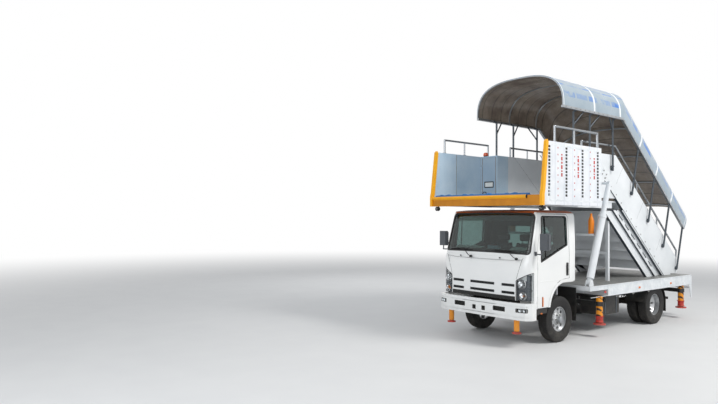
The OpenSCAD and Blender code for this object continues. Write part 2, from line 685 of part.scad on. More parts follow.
// A door follows the body's surface over its whole thickness
module door_skin(d0, d1, outline) {
  intersection() {
    difference() {
      body(d0);
      body(d1);
    }
    door_cut(outline);
  }
}
module door(side) {
  color("white") translate([0, fy, 0]) on_side(side) difference() {
    union() {
      door_skin(0, door_t, moved_in(door_outline, door_gap));
      for (z = hinge_zs) hinge_leaf(z + hinge_h + touch, 28);
    }
    door_cut(window_outline);
    slab([cab_half - 12, 130, 1190], [cab_half + 10, 200, 1420]);
    for (z = hinge_zs) translate([hinge_x, hinge_y, z]) cylinder(h = 3 * hinge_h, r = hinge_pin_r + touch, $fn = 24);
  }
}
module door_glass(side) {
  color("lightcyan") translate([0, fy, 0]) on_side(side)
    door_skin(door_t / 2 - 3, door_t / 2 - 3 + glass_t, moved_in(window_outline, touch));
}

// Arched mudguards over the wheels and the flaps behind them
guard_t = 6;
guard_r = 470;
guard_x = [650, deck_half - 60];
module mudguards() {
  color("black") translate([0, fy, 0]) both_sides() {
    // Rear guard over the twin tyres, its brackets and its flap
    difference() {
      cross_bar(guard_x[0], guard_x[1], wheelbase, tyre_r, guard_r + guard_t, 72);
      cross_bar(guard_x[0] - 1, guard_x[1] + 1, wheelbase, tyre_r, guard_r, 72);
      slab([guard_x[0] - 1, wheelbase - 700, -200], [guard_x[1] + 1, wheelbase + 700, tyre_r + 80]);
    }
    for (y = [-350, 350]) slab([rail_x, wheelbase + y - 15, 690], [guard_x[0] + 60, wheelbase + y + 15, 727]);
    slab([guard_x[0], wheelbase + 463, 230], [guard_x[1], wheelbase + 469, tyre_r + 82]);
    // Liner behind the front wheel and its bracket
    slab([560, 520, 330], [940, 526, 940]);
    slab([rail_x, 505, 600], [570, 526, 640]);
  }
}
// Fuel tank on the left and battery and oil boxes on the right, held off the frame rail by brackets
tank_x = [rail_x + 15, rail_x + 480];
module rail_brackets(ys) { for (y = ys) slab([rail_x, y, 600], [tank_x[0] + 5, y + 60, 680]); }
module side_equipment() {
  color("dimgray") translate([0, fy, 0]) {
    slab([tank_x[0], 1500, 330], [tank_x[1], 2150, 690]);
    rail_brackets([1600, 1990]);
    mirror([1, 0, 0]) {
      slab([tank_x[0], 1450, 330], [tank_x[1], 2250, 690]);
      rail_brackets([1600, 2040]);
    }
    // Silencer behind the left rear wheel
    translate([640, wheelbase + 640, 480]) rotate([-90, 0, 0]) cylinder(h = 420, r = 95, $fn = 36);
    slab([rail_x, wheelbase + 700, 540], [640, wheelbase + 740, 600]);
  }
}

// Deck
deck_t = 5;
edge_t = 50;
front_edge_h = 90;
module deck() {
  under_z = deck_z - deck_t + 1;
  color("white") translate([0, fy, 0]) {
    slab([-deck_half, deck_front_y, deck_z - deck_t], [deck_half, deck_rear_y, deck_z]);
    both_sides() {
      // Edge channels, shallow in front of the deep ones, and the beams on the frame rails
      slab([deck_half - edge_t, deck_front_y, deck_z - front_edge_h], [deck_half, deck_deep_y + 1, under_z]);
      slab([deck_half - edge_t, deck_deep_y, deck_z - deck_edge_h], [deck_half, deck_rear_y, under_z]);
      slab([rail_x - flange_w, deck_front_y, rail_top_z], [rail_x, deck_rear_y - 60, under_z]);
    }
    slab([-deck_half, deck_front_y, deck_z - front_edge_h], [deck_half, deck_front_y + 60, under_z]);
    for (y = [deck_deep_y, deck_rear_y - edge_t]) slab([-deck_half, y, deck_z - deck_edge_h], [deck_half, y + edge_t, under_z]);
    for (y = [2150, 2900, 3650, 4400]) slab([-deck_half, y, deck_z - 70], [deck_half, y + 50, under_z]);
    // Rear boarding step between two tapered side plates
    both_sides() side_plate(deck_half - 12, deck_half, [[deck_rear_y - 110, deck_z - deck_edge_h], [deck_rear_y - 20, 450],
      [deck_rear_y + 24, 450], [deck_rear_y + 24, deck_z - 10], [deck_rear_y + 10, deck_z], [deck_rear_y - 110, deck_z]]);
    slab([-deck_half + 11, deck_rear_y - 60, 660], [deck_half - 11, deck_rear_y + 10, 690]);
    // Ears that hold the lifting posts
    both_sides() for (x = ear_xs) post_ear(x);
  }
}
post_base_y = 765;
post_base_z = 1030;
ear_t = 18;
eye_w = 60;
ear_r = 55;
ear_xs = [post_x - eye_w / 2 - 1 - ear_t, post_x + eye_w / 2 + 1];
post_pin_r = 25;
module post_ear(x) {
  difference() {
    union() {
      slab([x, post_base_y - 70, deck_z - 1], [x + ear_t, post_base_y + 70, post_base_z - 20]);
      cross_bar(x, x + ear_t, post_base_y, post_base_z, ear_r, 40);
    }
    cross_bar(x - 1, x + ear_t + 1, post_base_y, post_base_z, post_pin_r + pin_gap, 40);
  }
}

// Jack legs with their pads: place is a row of the jacks' table
module jack_legs(place) {
  color("darkorange") translate([0, fy, 0]) both_sides() translate([place[0], place[1], pad_z]) {
    translate([0, 0, 20]) cylinder(h = place[2] - 40 - pad_z - 20, r = rod_r, $fn = 40);
    cylinder(h = 22, r = place[4], $fn = 40);
    translate([0, 0, 22]) cylinder(h = 20, r1 = place[4] - 20, r2 = rod_r + 8, $fn = 40);
  }
}

// Stairs
// Side view of one flight: nosing line n, first tread at height z0, a number of steps
function flight_outline(n, z0, count) = concat(
  [for (k = [0 : count - 1]) each [[y_of(n, z0 + k * step_rise), z0 + k * step_rise - (k == 0 ? tread_t : 0)],
    [y_of(n, z0 + k * step_rise), z0 + k * step_rise], [y_of(n, z0 + k * step_rise) - step_run, z0 + k * step_rise]]],
  [for (k = [count - 1 : -1 : 0]) each [[y_of(n, z0 + k * step_rise) - step_run - riser_t, z0 + k * step_rise],
    [y_of(n, z0 + k * step_rise) - step_run - riser_t, z0 + k * step_rise - tread_t],
    [y_of(n, z0 + k * step_rise) - riser_t, z0 + k * step_rise - tread_t]]]);
riser_t = 6;
moved_first_z = deck_z + step_rise + 5;
upper_first_z = plat_z - steps_upper * step_rise;
module steps_solid(half, n, z0, count) { side_plate(-half, half, flight_outline(n, z0, count)); }
// Straight side member on the slope between two n values, cut level at both ends
module slope_member(x0, x1, n0, n1, z_low, z_high) {
  side_plate(x0, x1, [[y_of(n0, z_low), z_low], [y_of(n1, z_low), z_low], [y_of(n1, z_high), z_high], [y_of(n0, z_high), z_high]]);
}
lower_half = 760;
beam_w = 60;
foot_z = deck_z + 5;
module lower_flight() {
  color("white") translate([0, fy, 0]) {
    steps_solid(lower_half, lower_n, moved_first_z, steps_moved);
    both_sides() slope_member(lower_half - 1, lower_half + beam_w, lower_low_n, middle_low_n - pad_gap, deck_z, landing_low_z - 20);
    // Legs under the upper end of the side beams
    both_sides() slab([lower_half - 40, 1960, deck_z], [lower_half + 20, 2020, z_of(lower_low_n, 2020) + 20]);
    slab([-lower_half, 1960, 1500], [lower_half, 2020, 1560]);
  }
}
web_t = 20;
web_x0 = 785;
// Clearance beside and above the side members of the flight below
side_gap = 6;
module middle_flight() {
  color("white") translate([0, fy, 0]) {
    steps_solid(web_x0 + 1, middle_n, moved_first_z, steps_moved);
    both_sides() difference() {
      slope_member(web_x0, web_x0 + 75, middle_low_n, guide_low_n - pad_gap, foot_z, landing_low_z);
      // Hollow of the channel outside
      slope_member(web_x0 + web_t, web_x0 + 80, middle_low_n + 16, guide_low_n - 30, foot_z - 200, landing_low_z + 200);
      // Windows between the step ends
      for (k = [0 : steps_moved - 1]) step_window(k);
    }
  }
}
module step_window(k) {
  z = moved_first_z + k * step_rise;
  y = y_of(middle_n, z);
  side_plate(web_x0 + 2, web_x0 + 79, [[y - 60, z + 14], [y - step_run + 14, z + 14], [y - step_run + 14, z + step_rise - 46]]);
}
guide_x = stair_half + panel_t + 20;
guide_top_z = wall_top_z - 6 - touch;
module upper_flight() {
  color("white") translate([0, fy, 0]) {
    difference() {
      steps_solid(stair_half + 1, upper_n, upper_first_z, steps_upper);
      // Room for the middle flight's side members
      both_sides() slope_member(web_x0 - side_gap, guide_x, upper_n - 2 * flight_depth, guide_low_n + side_gap, 0, plat_z + 900);
    }
    both_sides() {
      slope_member(stair_half, guide_x, guide_low_n, guide_high_n, foot_z, guide_top_z);
      post_top_plate();
    }
  }
}
// Place of the lifting posts' upper eye, below the guide rail
post_top_y = 1482;
post_top_z = 2911;
module post_top_plate() {
  translate([0, post_top_y, post_top_z]) rotate([-slope, 0, 0])
    slab([guide_x - 1, -90, -75], [guide_x + 12, 90, 330]);
}
infill_z = plat_low_z + 200;
function panel_outline(d) = [[wall_rear_y - 4, infill_z], [y_of(guide_low_n - touch, infill_z), infill_z],
  [y_of(guide_low_n - touch, wall_top_z - 6), wall_top_z - 6],
  [y_of(guide_high_n, wall_top_z - 6) + 1, wall_top_z - 6], [y_of(guide_high_n, foot_z + 20) + 1, foot_z + 20], [4930, foot_z + 20],
  [y_of(panel_high_n + d, 1320), 1320 + d], [y_of(panel_high_n + d, wall_top_z + d), wall_top_z + d], [wall_rear_y - 4, wall_top_z + d]];
module stair_panels() {
  color("white") translate([0, fy, 0]) both_sides() side_plate(stair_half + 2, stair_half + panel_t, panel_outline(0));
}

// Platform
module platform_floor() {
  color("silver") translate([0, fy, 0]) {
    // Front part between the side walls
    slab([-plat_half + side_t, -plat_front_y + 100, plat_z - 30], [plat_half - side_t, wall_rear_y, plat_z]);
    // Rear part between the stair panels
    slab([-stair_half, wall_rear_y - 1, plat_z - 30], [stair_half, landing_y, plat_z]);
    // Riser under the landing's nosing
    slab([-web_x0 + side_gap, landing_y - riser_t, plat_z - step_rise + touch], [web_x0 - side_gap, landing_y, plat_z - 29]);
    // Longitudinal and cross beams below
    both_sides() {
      slab([stair_half - 70, -plat_front_y + 100, plat_low_z], [stair_half - 10, landing_y - 300, plat_z - 29]);
      slab([plat_half - side_t - 60, -plat_front_y + 100, plat_low_z + 20], [plat_half - side_t, wall_rear_y, plat_z - 29]);
    }
    for (y = [-600, 60, wall_rear_y - 60]) slab([-plat_half + side_t, y, plat_low_z + 20], [plat_half - side_t, y + 60, plat_z - 29]);
  }
}
module platform_walls() {
  color("white") translate([0, fy, 0]) both_sides()
    side_plate(plat_half - side_t, plat_half - 1, [[-plat_front_y + 70, plat_low_z + 10], [-plat_front_y + 70, 2620], [-plat_front_y + 90, 2700],
      [-wall_front_y + 40, wall_top_z - 20], [-wall_front_y + 70, wall_top_z], [wall_rear_y, wall_top_z], [wall_rear_y, plat_low_z + 10]]);
}
// Beam along the front edge and the bent strips up the walls' front edges
module platform_bumper() {
  strip_t = 55;
  beam_low_z = plat_low_z;
  color("gold") translate([0, fy, 0]) {
    slab([-plat_half + side_t + 0.5, -plat_front_y + 30, beam_low_z], [plat_half - side_t - 0.5, -plat_front_y + 99.5, plat_z + 30]);
    cross_bar(-plat_half + 10, plat_half - 330, -plat_front_y + 34, plat_z + 5, 34, 40);
    both_sides() side_plate(plat_half - side_t - 8, plat_half, [[-plat_front_y, plat_low_z], [-plat_front_y, 2625], [-plat_front_y + 20, 2705],
      [-wall_front_y - 25, wall_top_z - 5], [-wall_front_y + 10, wall_top_z + 25], [-wall_front_y + 39, wall_top_z - 20],
      [-plat_front_y + 89.5, 2700], [-plat_front_y + 69.5, 2620], [-plat_front_y + 69.5, plat_low_z]]);
  }
}
// Cupboards between the walls and the stair, the right one with a door to the front
cup_front_y = 440;
cup_t = 20;
cup_x = [stair_half, plat_half - side_t];
module platform_cabinets() {
  color("lightsteelblue") translate([0, fy, 0]) both_sides() difference() {
    slab([cup_x[0], cup_front_y, plat_z], [cup_x[1], wall_rear_y - 6, wall_top_z]);
    slab([cup_x[0] + cup_t, cup_front_y - 1, plat_z + cup_t], [cup_x[1] - cup_t, wall_rear_y - 6 - cup_t, wall_top_z - cup_t]);
  }
  color("lightsteelblue") translate([0, fy, 0]) for (z = cup_hinge_zs) {
    cup_knuckle(z, -20);
    translate([cup_hinge[0], cup_hinge[1], z]) cylinder(h = 2 * hinge_h + touch, r = hinge_pin_r, $fn = 24);
  }
}
leaf_gap = 6;
leaf_w0 = cup_x[0] + cup_t + leaf_gap;
leaf_w1 = cup_x[1] - cup_t - leaf_gap;
cup_hinge = [-leaf_w1 - 3, cup_front_y - 9];
cup_hinge_zs = [plat_z + 120, wall_top_z - 250];
module cup_knuckle(z, toward) {
  translate([cup_hinge[0], cup_hinge[1], z]) cylinder(h = hinge_h, r = hinge_r, $fn = 24);
  slab([min(cup_hinge[0], cup_hinge[0] + toward), cup_hinge[1] - 2, z], [max(cup_hinge[0], cup_hinge[0] + toward), cup_front_y + 1, z + hinge_h]);
}
module cabinet_door() {
  color("lightsteelblue") translate([0, fy, 0]) difference() {
    union() {
      slab([-leaf_w1, cup_front_y, plat_z + cup_t + leaf_gap], [-leaf_w0, cup_front_y + 18, wall_top_z - cup_t - leaf_gap]);
      for (z = cup_hinge_zs) cup_knuckle(z + hinge_h + touch, 24);
    }
    for (z = cup_hinge_zs) translate([cup_hinge[0], cup_hinge[1], z]) cylinder(h = 3 * hinge_h, r = hinge_pin_r + touch, $fn = 24);
  }
}
module platform_lamps() {
  color("orangered") translate([0, fy, 0]) {
    // Beacon on the right cupboard
    translate([-plat_half + 110, 520, wall_top_z]) {
      cylinder(h = 25, r = 45, $fn = 32);
      translate([0, 0, 25]) cylinder(h = 55, r1 = 40, r2 = 36, $fn = 32);
    }
    // Work lamps under the front corners
    for (s = [-1, 1]) translate([s * (plat_half - 96), -plat_front_y + 150, plat_low_z + 20]) {
      translate([0, 0, -30]) cylinder(h = 30, r = 12, $fn = 24);
      translate([0, -25, -65]) rotate([90, 0, 0]) cylinder(h = 50, r = 42, center = true, $fn = 32);
    }
  }
}
rail_r = 20;
rail_top_line = wall_top_z + 265;
module handrails() {
  color("silver") translate([0, fy, 0]) both_sides() {
    x_wall = plat_half - side_t / 2 - 1;
    tube_run([[x_wall, -660, wall_top_z], [x_wall, -660, rail_top_line], [x_wall, 700, rail_top_line], [x_wall, 700, wall_top_z]], rail_r);
    bar([x_wall, -60, wall_top_z], [x_wall, -60, rail_top_line], rail_r - 4);
    // Rail along the stair, above the panels
    x_stair = stair_half + panel_t / 2;
    n_rail = panel_high_n + 150;
    z_rail = wall_top_z + 190;
    difference() {
      union() {
        tube_run([[x_stair, 900, wall_top_z], [x_stair, 900, z_rail], [x_stair, y_of(n_rail, z_rail), z_rail],
          [x_stair, y_of(n_rail, 1500), 1500], [x_stair, 4880, 1330]], rail_r);
        for (y = [1500, 2060, 3050, 3950]) bar([x_stair, y, min(wall_top_z, z_of(panel_high_n, y)) - 30],
          [x_stair, y, min(z_rail, z_of(n_rail, y))], rail_r - 5);
      }
      side_plate(stair_half - rail_r - 10, stair_half + panel_t + rail_r + 10, panel_outline(touch));
    }
  }
}

// Canopy
// Arch of the canopy in front view: a point at angle a, for a half width w and a rise h
arch_points = 24;
function arch_x(a, w) = w * sign(cos(a)) * pow(abs(cos(a)), 0.72);
function arch_z(a, h) = h * pow(abs(sin(a)), 0.72);
function arch(w, h) = [for (i = [0 : arch_points]) [arch_x(180 - i * 180 / arch_points, w), arch_z(180 - i * 180 / arch_points, h)]];
module arch_band(outer_w, outer_h, t) {
  difference() {
    polygon(arch(outer_w, outer_h));
    polygon(concat([[-outer_w + t, -5]], arch(outer_w - t, outer_h - t), [[outer_w - t, -5]]));
  }
}
module mitre(keep_front) {
  // Half space in front of or behind the plane that halves the bend
  translate([0, bend_y, eave_z]) rotate([-slope / 2, 0, 0])
    translate([-big / 2, keep_front ? -big : 0, -big / 2]) cube([big, big, big]);
}
module level_band(y0, y1, w, h, t) {
  translate([0, y1, eave_z]) rotate([90, 0, 0]) linear_extrude(y1 - y0) arch_band(w, h, t);
}
module sloped_band(t0, t1, w, h, t) {
  on_slope() translate([0, t1, bend_n]) rotate([90, 0, 0]) linear_extrude(t1 - t0) arch_band(w, h, t);
}
module canopy_sheets() {
  color("lightblue") translate([0, fy, 0]) {
    difference() {
      level_band(canopy_front_y, bend_y + 500, canopy_half, arch_rise, sheet_t);
      mitre(false);
    }
    difference() {
      sloped_band(canopy_t0 - 500, canopy_t1, canopy_half, arch_rise, sheet_t);
      translate([0, -2, 0]) mitre(true);
    }
  }
}
hoop_w = 34;
hoop_t = 14;
level_hoops = [canopy_front_y, 1060, 2030];
// Places of the slanted supports under the stair's canopy, at the eave
support_ys = [2850, 3560, 4260, 4915];
support_lean = 120;
post_ys = [520, 1090, 1950];
eave_x = 960;
eave_h = 42;
foot_x = stair_half + panel_t + 40;
hoop_half = canopy_half - sheet_t - touch;
// Rails under both eaves, level and sloped, grown by g on every side
module eave_rail(g) {
  slab([eave_x - 8 - g, canopy_front_y - g, eave_z - eave_h - g], [canopy_half + g, bend_y, eave_z - touch + g]);
  difference() {
    on_slope() slab([eave_x - 8 - g, canopy_t0 - 20, bend_n - eave_h - g], [canopy_half + g, canopy_t1 + g, bend_n - touch + g]);
    slab([0, 0, eave_z - 1], [big, bend_y, big]);
  }
}
module canopy_rails() { color("silver") translate([0, fy, 0]) both_sides() eave_rail(0); }
// Hoops that stand on the rails, under the sheets
module canopy_hoops() {
  color("silver") translate([0, fy, 0]) {
    for (y = level_hoops) level_band(y, y + hoop_w, hoop_half, arch_rise - sheet_t - touch, hoop_t);
    for (y = support_ys) {
      t = t_of(y, z_of(bend_n, y));
      sloped_band(t - hoop_w, t, hoop_half, arch_rise - sheet_t - touch, hoop_t);
    }
  }
}
// Upright posts beside the platform and the top of the stair, each with a brace
module canopy_posts() {
  color("silver") translate([0, fy, 0]) both_sides() {
    for (y = post_ys) difference() {
      union() {
        foot = y < wall_rear_y ? wall_top_z : wall_top_z - 330;
        bar([foot_x, y, foot], [foot_x, y, eave_z - 60], rail_r);
        bar([foot_x, y, eave_z - 62], [eave_x + 10, y, eave_z - 20], rail_r);
        bar([foot_x, y, eave_z - 300], [eave_x, y + (y > 1500 ? -260 : 260), eave_z - 20], rail_r - 6);
      }
      eave_rail(touch);
    }
    for (y = [1090, 1950]) slab([stair_half + panel_t, y - 25, wall_top_z - 320], [foot_x, y + 25, wall_top_z - 260]);
  }
}
// Slanted supports beside the stair, each with the bracket at its foot
module canopy_supports() {
  n_foot = bend_n - 850;
  color("silver") translate([0, fy, 0]) both_sides() for (y = support_ys) {
    zf = z_of(n_foot, y - support_lean);
    difference() {
      bar([foot_x, y - support_lean, zf], [eave_x + 10, y, z_of(bend_n, y) - 20], rail_r);
      eave_rail(touch);
    }
    on_slope() translate([0, t_of(y - support_lean, zf), n_foot]) slab([stair_half + panel_t, -30, 0], [foot_x, 30, 60]);
  }
}

// Lifting posts: three tubes in each other, tilted about the pin in the deck
post_vec = [post_top_y - post_base_y, post_top_z - post_base_z];
post_full = norm(post_vec);
post_tilt = atan2(post_vec[0], post_vec[1]);
// The same with the stairs raised, and how far each of the two moving tubes comes out
post_vec_raised = post_vec + stage_travel * [-cos(slope), sin(slope)];
tube_stroke = (norm(post_vec_raised) - post_full) / 2;
tube_wall = 9;
tube_gap = 0.4;
middle_r = post_r - tube_wall - tube_gap;
inner_r = middle_r - tube_wall - tube_gap;
middle_foot = 95;
inner_foot = 130;
post_len = middle_foot + tube_stroke + post_lap;
collar_h = 60;
collar_t = 8;
module on_post() { translate([0, post_base_y, post_base_z]) rotate([-post_tilt, 0, 0]) children(); }
module post_outer_tubes() {
  color("white") translate([0, fy, 0]) on_post() {
    both_sides() translate([post_x, 0, 0]) {
      difference() {
        union() {
          translate([0, 0, 80]) cylinder(h = post_len - 80, r = post_r, $fn = 48);
          translate([0, 0, post_len - collar_h]) cylinder(h = collar_h, r = post_r + collar_t, $fn = 48);
        }
        translate([0, 0, middle_foot - touch]) cylinder(h = post_len, r = middle_r + tube_gap, $fn = 48);
      }
      // Eye on the deck's pin
      slab([-eye_w / 2, -45, 0], [eye_w / 2, 45, 85]);
      cross_bar(-eye_w / 2, eye_w / 2, 0, 0, 48, 40);
      cross_bar(-eye_w / 2 - ear_t - 8, eye_w / 2 + ear_t + 8, 0, 0, post_pin_r, 40);
    }
  }
}
module post_middle_tubes() {
  color("white") translate([0, fy, 0]) on_post() both_sides() translate([post_x, 0, middle_foot]) difference() {
    cylinder(h = post_len - middle_foot + 40, r = middle_r, $fn = 48);
    translate([0, 0, inner_foot - middle_foot - touch]) cylinder(h = post_len, r = inner_r + tube_gap, $fn = 48);
  }
}
module post_inner_tubes() {
  eye_reach = post_x - guide_x - 12 - 5;
  color("white") translate([0, fy, 0]) on_post() both_sides() translate([post_x, 0, 0]) {
    translate([0, 0, inner_foot]) cylinder(h = post_full - 40 - inner_foot, r = inner_r, $fn = 48);
    // Eye and its pin, which reaches to the plate on the guide rail
    slab([-eye_w / 2, -40, post_full - 60], [eye_w / 2, 40, post_full]);
    cross_bar(-eye_w / 2, eye_w / 2, 0, post_full, 48, 40);
    cross_bar(-eye_reach, 0, 0, post_full, post_pin_r, 40);
  }
}
// Rack behind the cab: two uprights on the frame rails and a shelf that ends beside the posts
rack_y = 1108;
rack_top_z = 1929;
rack_h = 45;
rack_half = post_x - post_r - 12;
module cone_rack() {
  color("white") translate([0, fy, 0]) {
    slab([-rack_half, rack_y - 60, rack_top_z - rack_h], [rack_half, rack_y + 60, rack_top_z]);
    both_sides() slab([rail_x - flange_w, rack_y - 40, deck_z + touch], [rail_x, rack_y + 40, rack_top_z - rack_h + 1]);
  }
}
// Orange cones that stand on the rack
module warning_cones() {
  color("orange") translate([0, fy, 0]) both_sides() translate([post_x - 160, rack_y, rack_top_z + touch]) {
    cylinder(h = 250, r = 55, $fn = 36);
    translate([0, 0, 250]) cylinder(h = 90, r1 = 55, r2 = 22, $fn = 36);
    translate([0, 0, 340]) cylinder(h = 50, r = 20, $fn = 24);
  }
}

chassis_frame();
front_axle();
rear_axle();
driveline();
steering_knuckle(1);  // steering_knuckle_left
steering_knuckle(-1);  // steering_knuckle_right
front_tyre(1);  // front_tyre_left
front_tyre(-1);  // front_tyre_right
front_wheel(1);  // front_wheel_left
front_wheel(-1);  // front_wheel_right
rear_tyres(1);  // rear_tyres_left
rear_tyres(-1);  // rear_tyres_right
rear_wheels(1);  // rear_wheels_left
rear_wheels(-1);  // rear_wheels_right
cab_shell();
cab_roof();
nose_panel();
front_bumper();
headlamps();
cab_glass();
dashboard();
seats();
mirrors();
door(1);  // door_left
door(-1);  // door_right
door_glass(1);  // door_glass_left
door_glass(-1);  // door_glass_right
mudguards();
side_equipment();
deck();
jack_barrels();
jack_legs(jack_front);  // front_jack_legs
jack_legs(jack_middle);  // middle_jack_legs
jack_legs(jack_rear);  // rear_jack_legs
lower_flight();
middle_flight();
upper_flight();
stair_panels();
platform_floor();
platform_walls();
platform_bumper();
platform_cabinets();
cabinet_door();
platform_lamps();
handrails();
canopy_sheets();
canopy_hoops();
canopy_rails();
canopy_posts();
canopy_supports();
post_outer_tubes();
post_middle_tubes();
post_inner_tubes();
cone_rack();
warning_cones();
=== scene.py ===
# %% [markdown]
# # Aircraft passenger stairs on a light truck
# Mobile stairs are three machines in one: a small forward-control truck, a stair in three flights that
# slides up a slope, and a platform with a canopy for the passengers. The solids come from the CAD model.
# This file gives them their finishes and adds what is too fine for the solids: seals, wipers, lamps,
# tread bars, tyre blocks, bolts and trims. Nearly every new piece is a surface worked out with numpy.

# %% Load the solids
import bpy
import bmesh
import json
import math
import numpy as np
from mathutils import Matrix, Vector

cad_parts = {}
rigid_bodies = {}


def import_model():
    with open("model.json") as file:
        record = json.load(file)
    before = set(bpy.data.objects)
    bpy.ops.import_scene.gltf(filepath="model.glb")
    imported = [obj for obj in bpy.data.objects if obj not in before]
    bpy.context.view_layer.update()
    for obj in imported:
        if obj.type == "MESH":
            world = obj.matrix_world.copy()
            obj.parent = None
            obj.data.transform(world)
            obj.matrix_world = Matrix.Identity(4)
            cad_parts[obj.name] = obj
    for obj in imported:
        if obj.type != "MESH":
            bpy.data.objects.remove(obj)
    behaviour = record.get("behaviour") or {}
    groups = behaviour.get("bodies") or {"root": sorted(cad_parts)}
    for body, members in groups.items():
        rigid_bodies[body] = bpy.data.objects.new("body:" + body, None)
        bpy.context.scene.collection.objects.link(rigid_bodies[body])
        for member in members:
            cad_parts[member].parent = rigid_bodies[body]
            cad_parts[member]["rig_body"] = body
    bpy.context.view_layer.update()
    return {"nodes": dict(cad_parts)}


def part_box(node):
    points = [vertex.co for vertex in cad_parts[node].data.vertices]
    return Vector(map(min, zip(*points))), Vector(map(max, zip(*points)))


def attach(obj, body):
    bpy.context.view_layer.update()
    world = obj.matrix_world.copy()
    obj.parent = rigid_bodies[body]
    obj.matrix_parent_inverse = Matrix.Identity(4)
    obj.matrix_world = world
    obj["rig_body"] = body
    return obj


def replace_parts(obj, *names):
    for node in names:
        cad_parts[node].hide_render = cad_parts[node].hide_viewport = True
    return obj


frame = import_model()
nodes = frame["nodes"]

# %% [markdown]
# ## Places
# The builder of the real truck measures from the front axle, so the pieces here do too: x to the left
# side of the truck, y to the rear from the front axle, z up from the ground, all in millimetres. One
# function turns such places into metres of the scene.

# %% Millimetres from the front axle
axle_lo, axle_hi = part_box("front_tyre_left")
AXLE_Y = (axle_lo.y + axle_hi.y) / 2


def floats(values):
    """Values as an array of floats."""
    return np.asarray(values, float)


def at(points):
    """Places in mm from the front axle, any array whose last side is x, y, z, as metres of the scene."""
    return floats(points) / 1000 + [0, AXLE_Y, 0]


def placed(name, data):
    """A new object of the scene."""
    thing = bpy.data.objects.new(name, data)
    bpy.context.scene.collection.objects.link(thing)
    return thing


def posed(side, up, back, place):
    """The matrix of an object whose own x, y and z axes are side, up and back."""
    matrix = np.eye(4)
    matrix[:3] = np.stack([side, up, back, place], 1)
    return Matrix(matrix)


print("front axle at", round(AXLE_Y, 4))

# %% [markdown]
# ## Camera
# The photograph was taken by a person who stands in front of the truck, a little to its left side. The
# yaw, the pitch and the lens come from lines on the truck that are level or upright in reality.

# %% Camera of the photograph
YAW, PITCH, ROLL = (math.radians(a) for a in (-51.03, 1.53, 0.48))
CAMERA_AT, LENS_MM, SENSOR_MM = (7140, -9670, 2190), 30.36, 36
level_right = np.array([math.cos(YAW), -math.sin(YAW), 0])
forward = np.array([math.sin(YAW) * math.cos(PITCH), math.cos(YAW) * math.cos(PITCH), math.sin(PITCH)])
level_up = np.cross(level_right, forward)
right = math.cos(ROLL) * level_right + math.sin(ROLL) * level_up
up = -math.sin(ROLL) * level_right + math.cos(ROLL) * level_up
camera = placed("camera", bpy.data.cameras.new("camera"))
camera.matrix_world = posed(right, up, -forward, at(CAMERA_AT))
camera.data.sensor_width, camera.data.lens, camera.data.clip_end = SENSOR_MM, LENS_MM, 500
bpy.context.scene.camera = camera
print("camera at", [round(v, 2) for v in camera.location])

# %% [markdown]
# ## Shapes as arrays
# A shape here is a pair: an array of corners and a list of faces. A few functions make such pairs: a
# grid closed to a tube, a profile turned about an axle, a section carried along a path, a plate cut to
# an outline, and a box. Every other piece is one of these with other numbers, or several joined.

# %% Grids, and shapes that are joined or mirrored
def grid_faces(rows, cols, close_rows=False, close_cols=False):
    """Four-sided faces between neighbours of a grid of rows x cols corners, closed round either way."""
    r = np.arange(rows if close_rows else rows - 1)[:, None]
    c = np.arange(cols if close_cols else cols - 1)[None, :]
    r2, c2 = (r + 1) % rows, (c + 1) % cols
    quads = np.stack([r * cols + c, r * cols + c2, r2 * cols + c2, r2 * cols + c], axis=-1)
    return quads.reshape(-1, 4).tolist()


def end_faces(rows, cols):
    """The two flat ends of a grid that is closed round its columns."""
    last = (rows - 1) * cols
    return [list(range(cols))[::-1], list(range(last, last + cols))]


def outward(faces, inside_out):
    """Faces turned round where they would look in."""
    return [face[::-1] for face in faces] if inside_out else faces


def join(*shapes):
    """Several shapes as one: the corners follow each other and the faces count on from them."""
    corners, faces, count = [], [], 0
    for c, f in shapes:
        corners.append(floats(c).reshape(-1, 3))
        faces.extend([[i + count for i in face] for face in f])
        count += len(corners[-1])
    return np.concatenate(corners), faces


def flipped(shape):
    """The same shape on the other side of the truck: x changes its sign, and the faces turn round."""
    return floats(shape[0]) * [-1, 1, 1], outward(shape[1], True)


def both(shape):
    """A shape and its mirror image on the other side of the truck."""
    return join(shape, flipped(shape))


def area_sign(section):
    """Sign of the area inside a closed outline: the sum of the cross products of neighbouring corners."""
    a, b = section, np.roll(section, -1, 0)
    return np.sign((a[:, 0] * b[:, 1] - a[:, 1] * b[:, 0]).sum())


print("a grid of 3 x 4 corners has", len(grid_faces(3, 4)), "faces")

# %% [markdown]
# ### Sections carried along a path
# Tubes, seals, bands and trims are drawn, extruded or rolled: they have one section all along. So each
# is made that way here, one closed section on a path whose corners are bent as a tube is bent.

# %% Sections carried along a path
def sweep(path, section, closed=False, start_up=(0, 0, 1)):
    """A closed section of (side, up) offsets carried along a path. At each point the side vector is the
    path's direction crossed with an up vector that turns with the path, so the section never twists."""
    path, section = floats(path), floats(section)
    ahead = np.roll(path, -1, 0) - np.roll(path, 1, 0) if closed else np.gradient(path, axis=0)
    ahead /= np.linalg.norm(ahead, axis=1)[:, None]
    ups = [floats(start_up)]
    for d in ahead:
        u = ups[-1] - d * (ups[-1] @ d)
        if np.linalg.norm(u) < 1e-3:
            u = np.cross(d, [1, 0.3, 0.2])
        ups.append(u / np.linalg.norm(u))
    ups = np.array(ups[1:])
    sides = np.cross(ahead, ups)
    corners = path[:, None] + section[None, :, :1] * sides[:, None] + section[None, :, 1:] * ups[:, None]
    faces = grid_faces(len(path), len(section), closed, True)
    if not closed:
        faces += end_faces(len(path), len(section))
    return corners.reshape(-1, 3), outward(faces, area_sign(section) < 0)


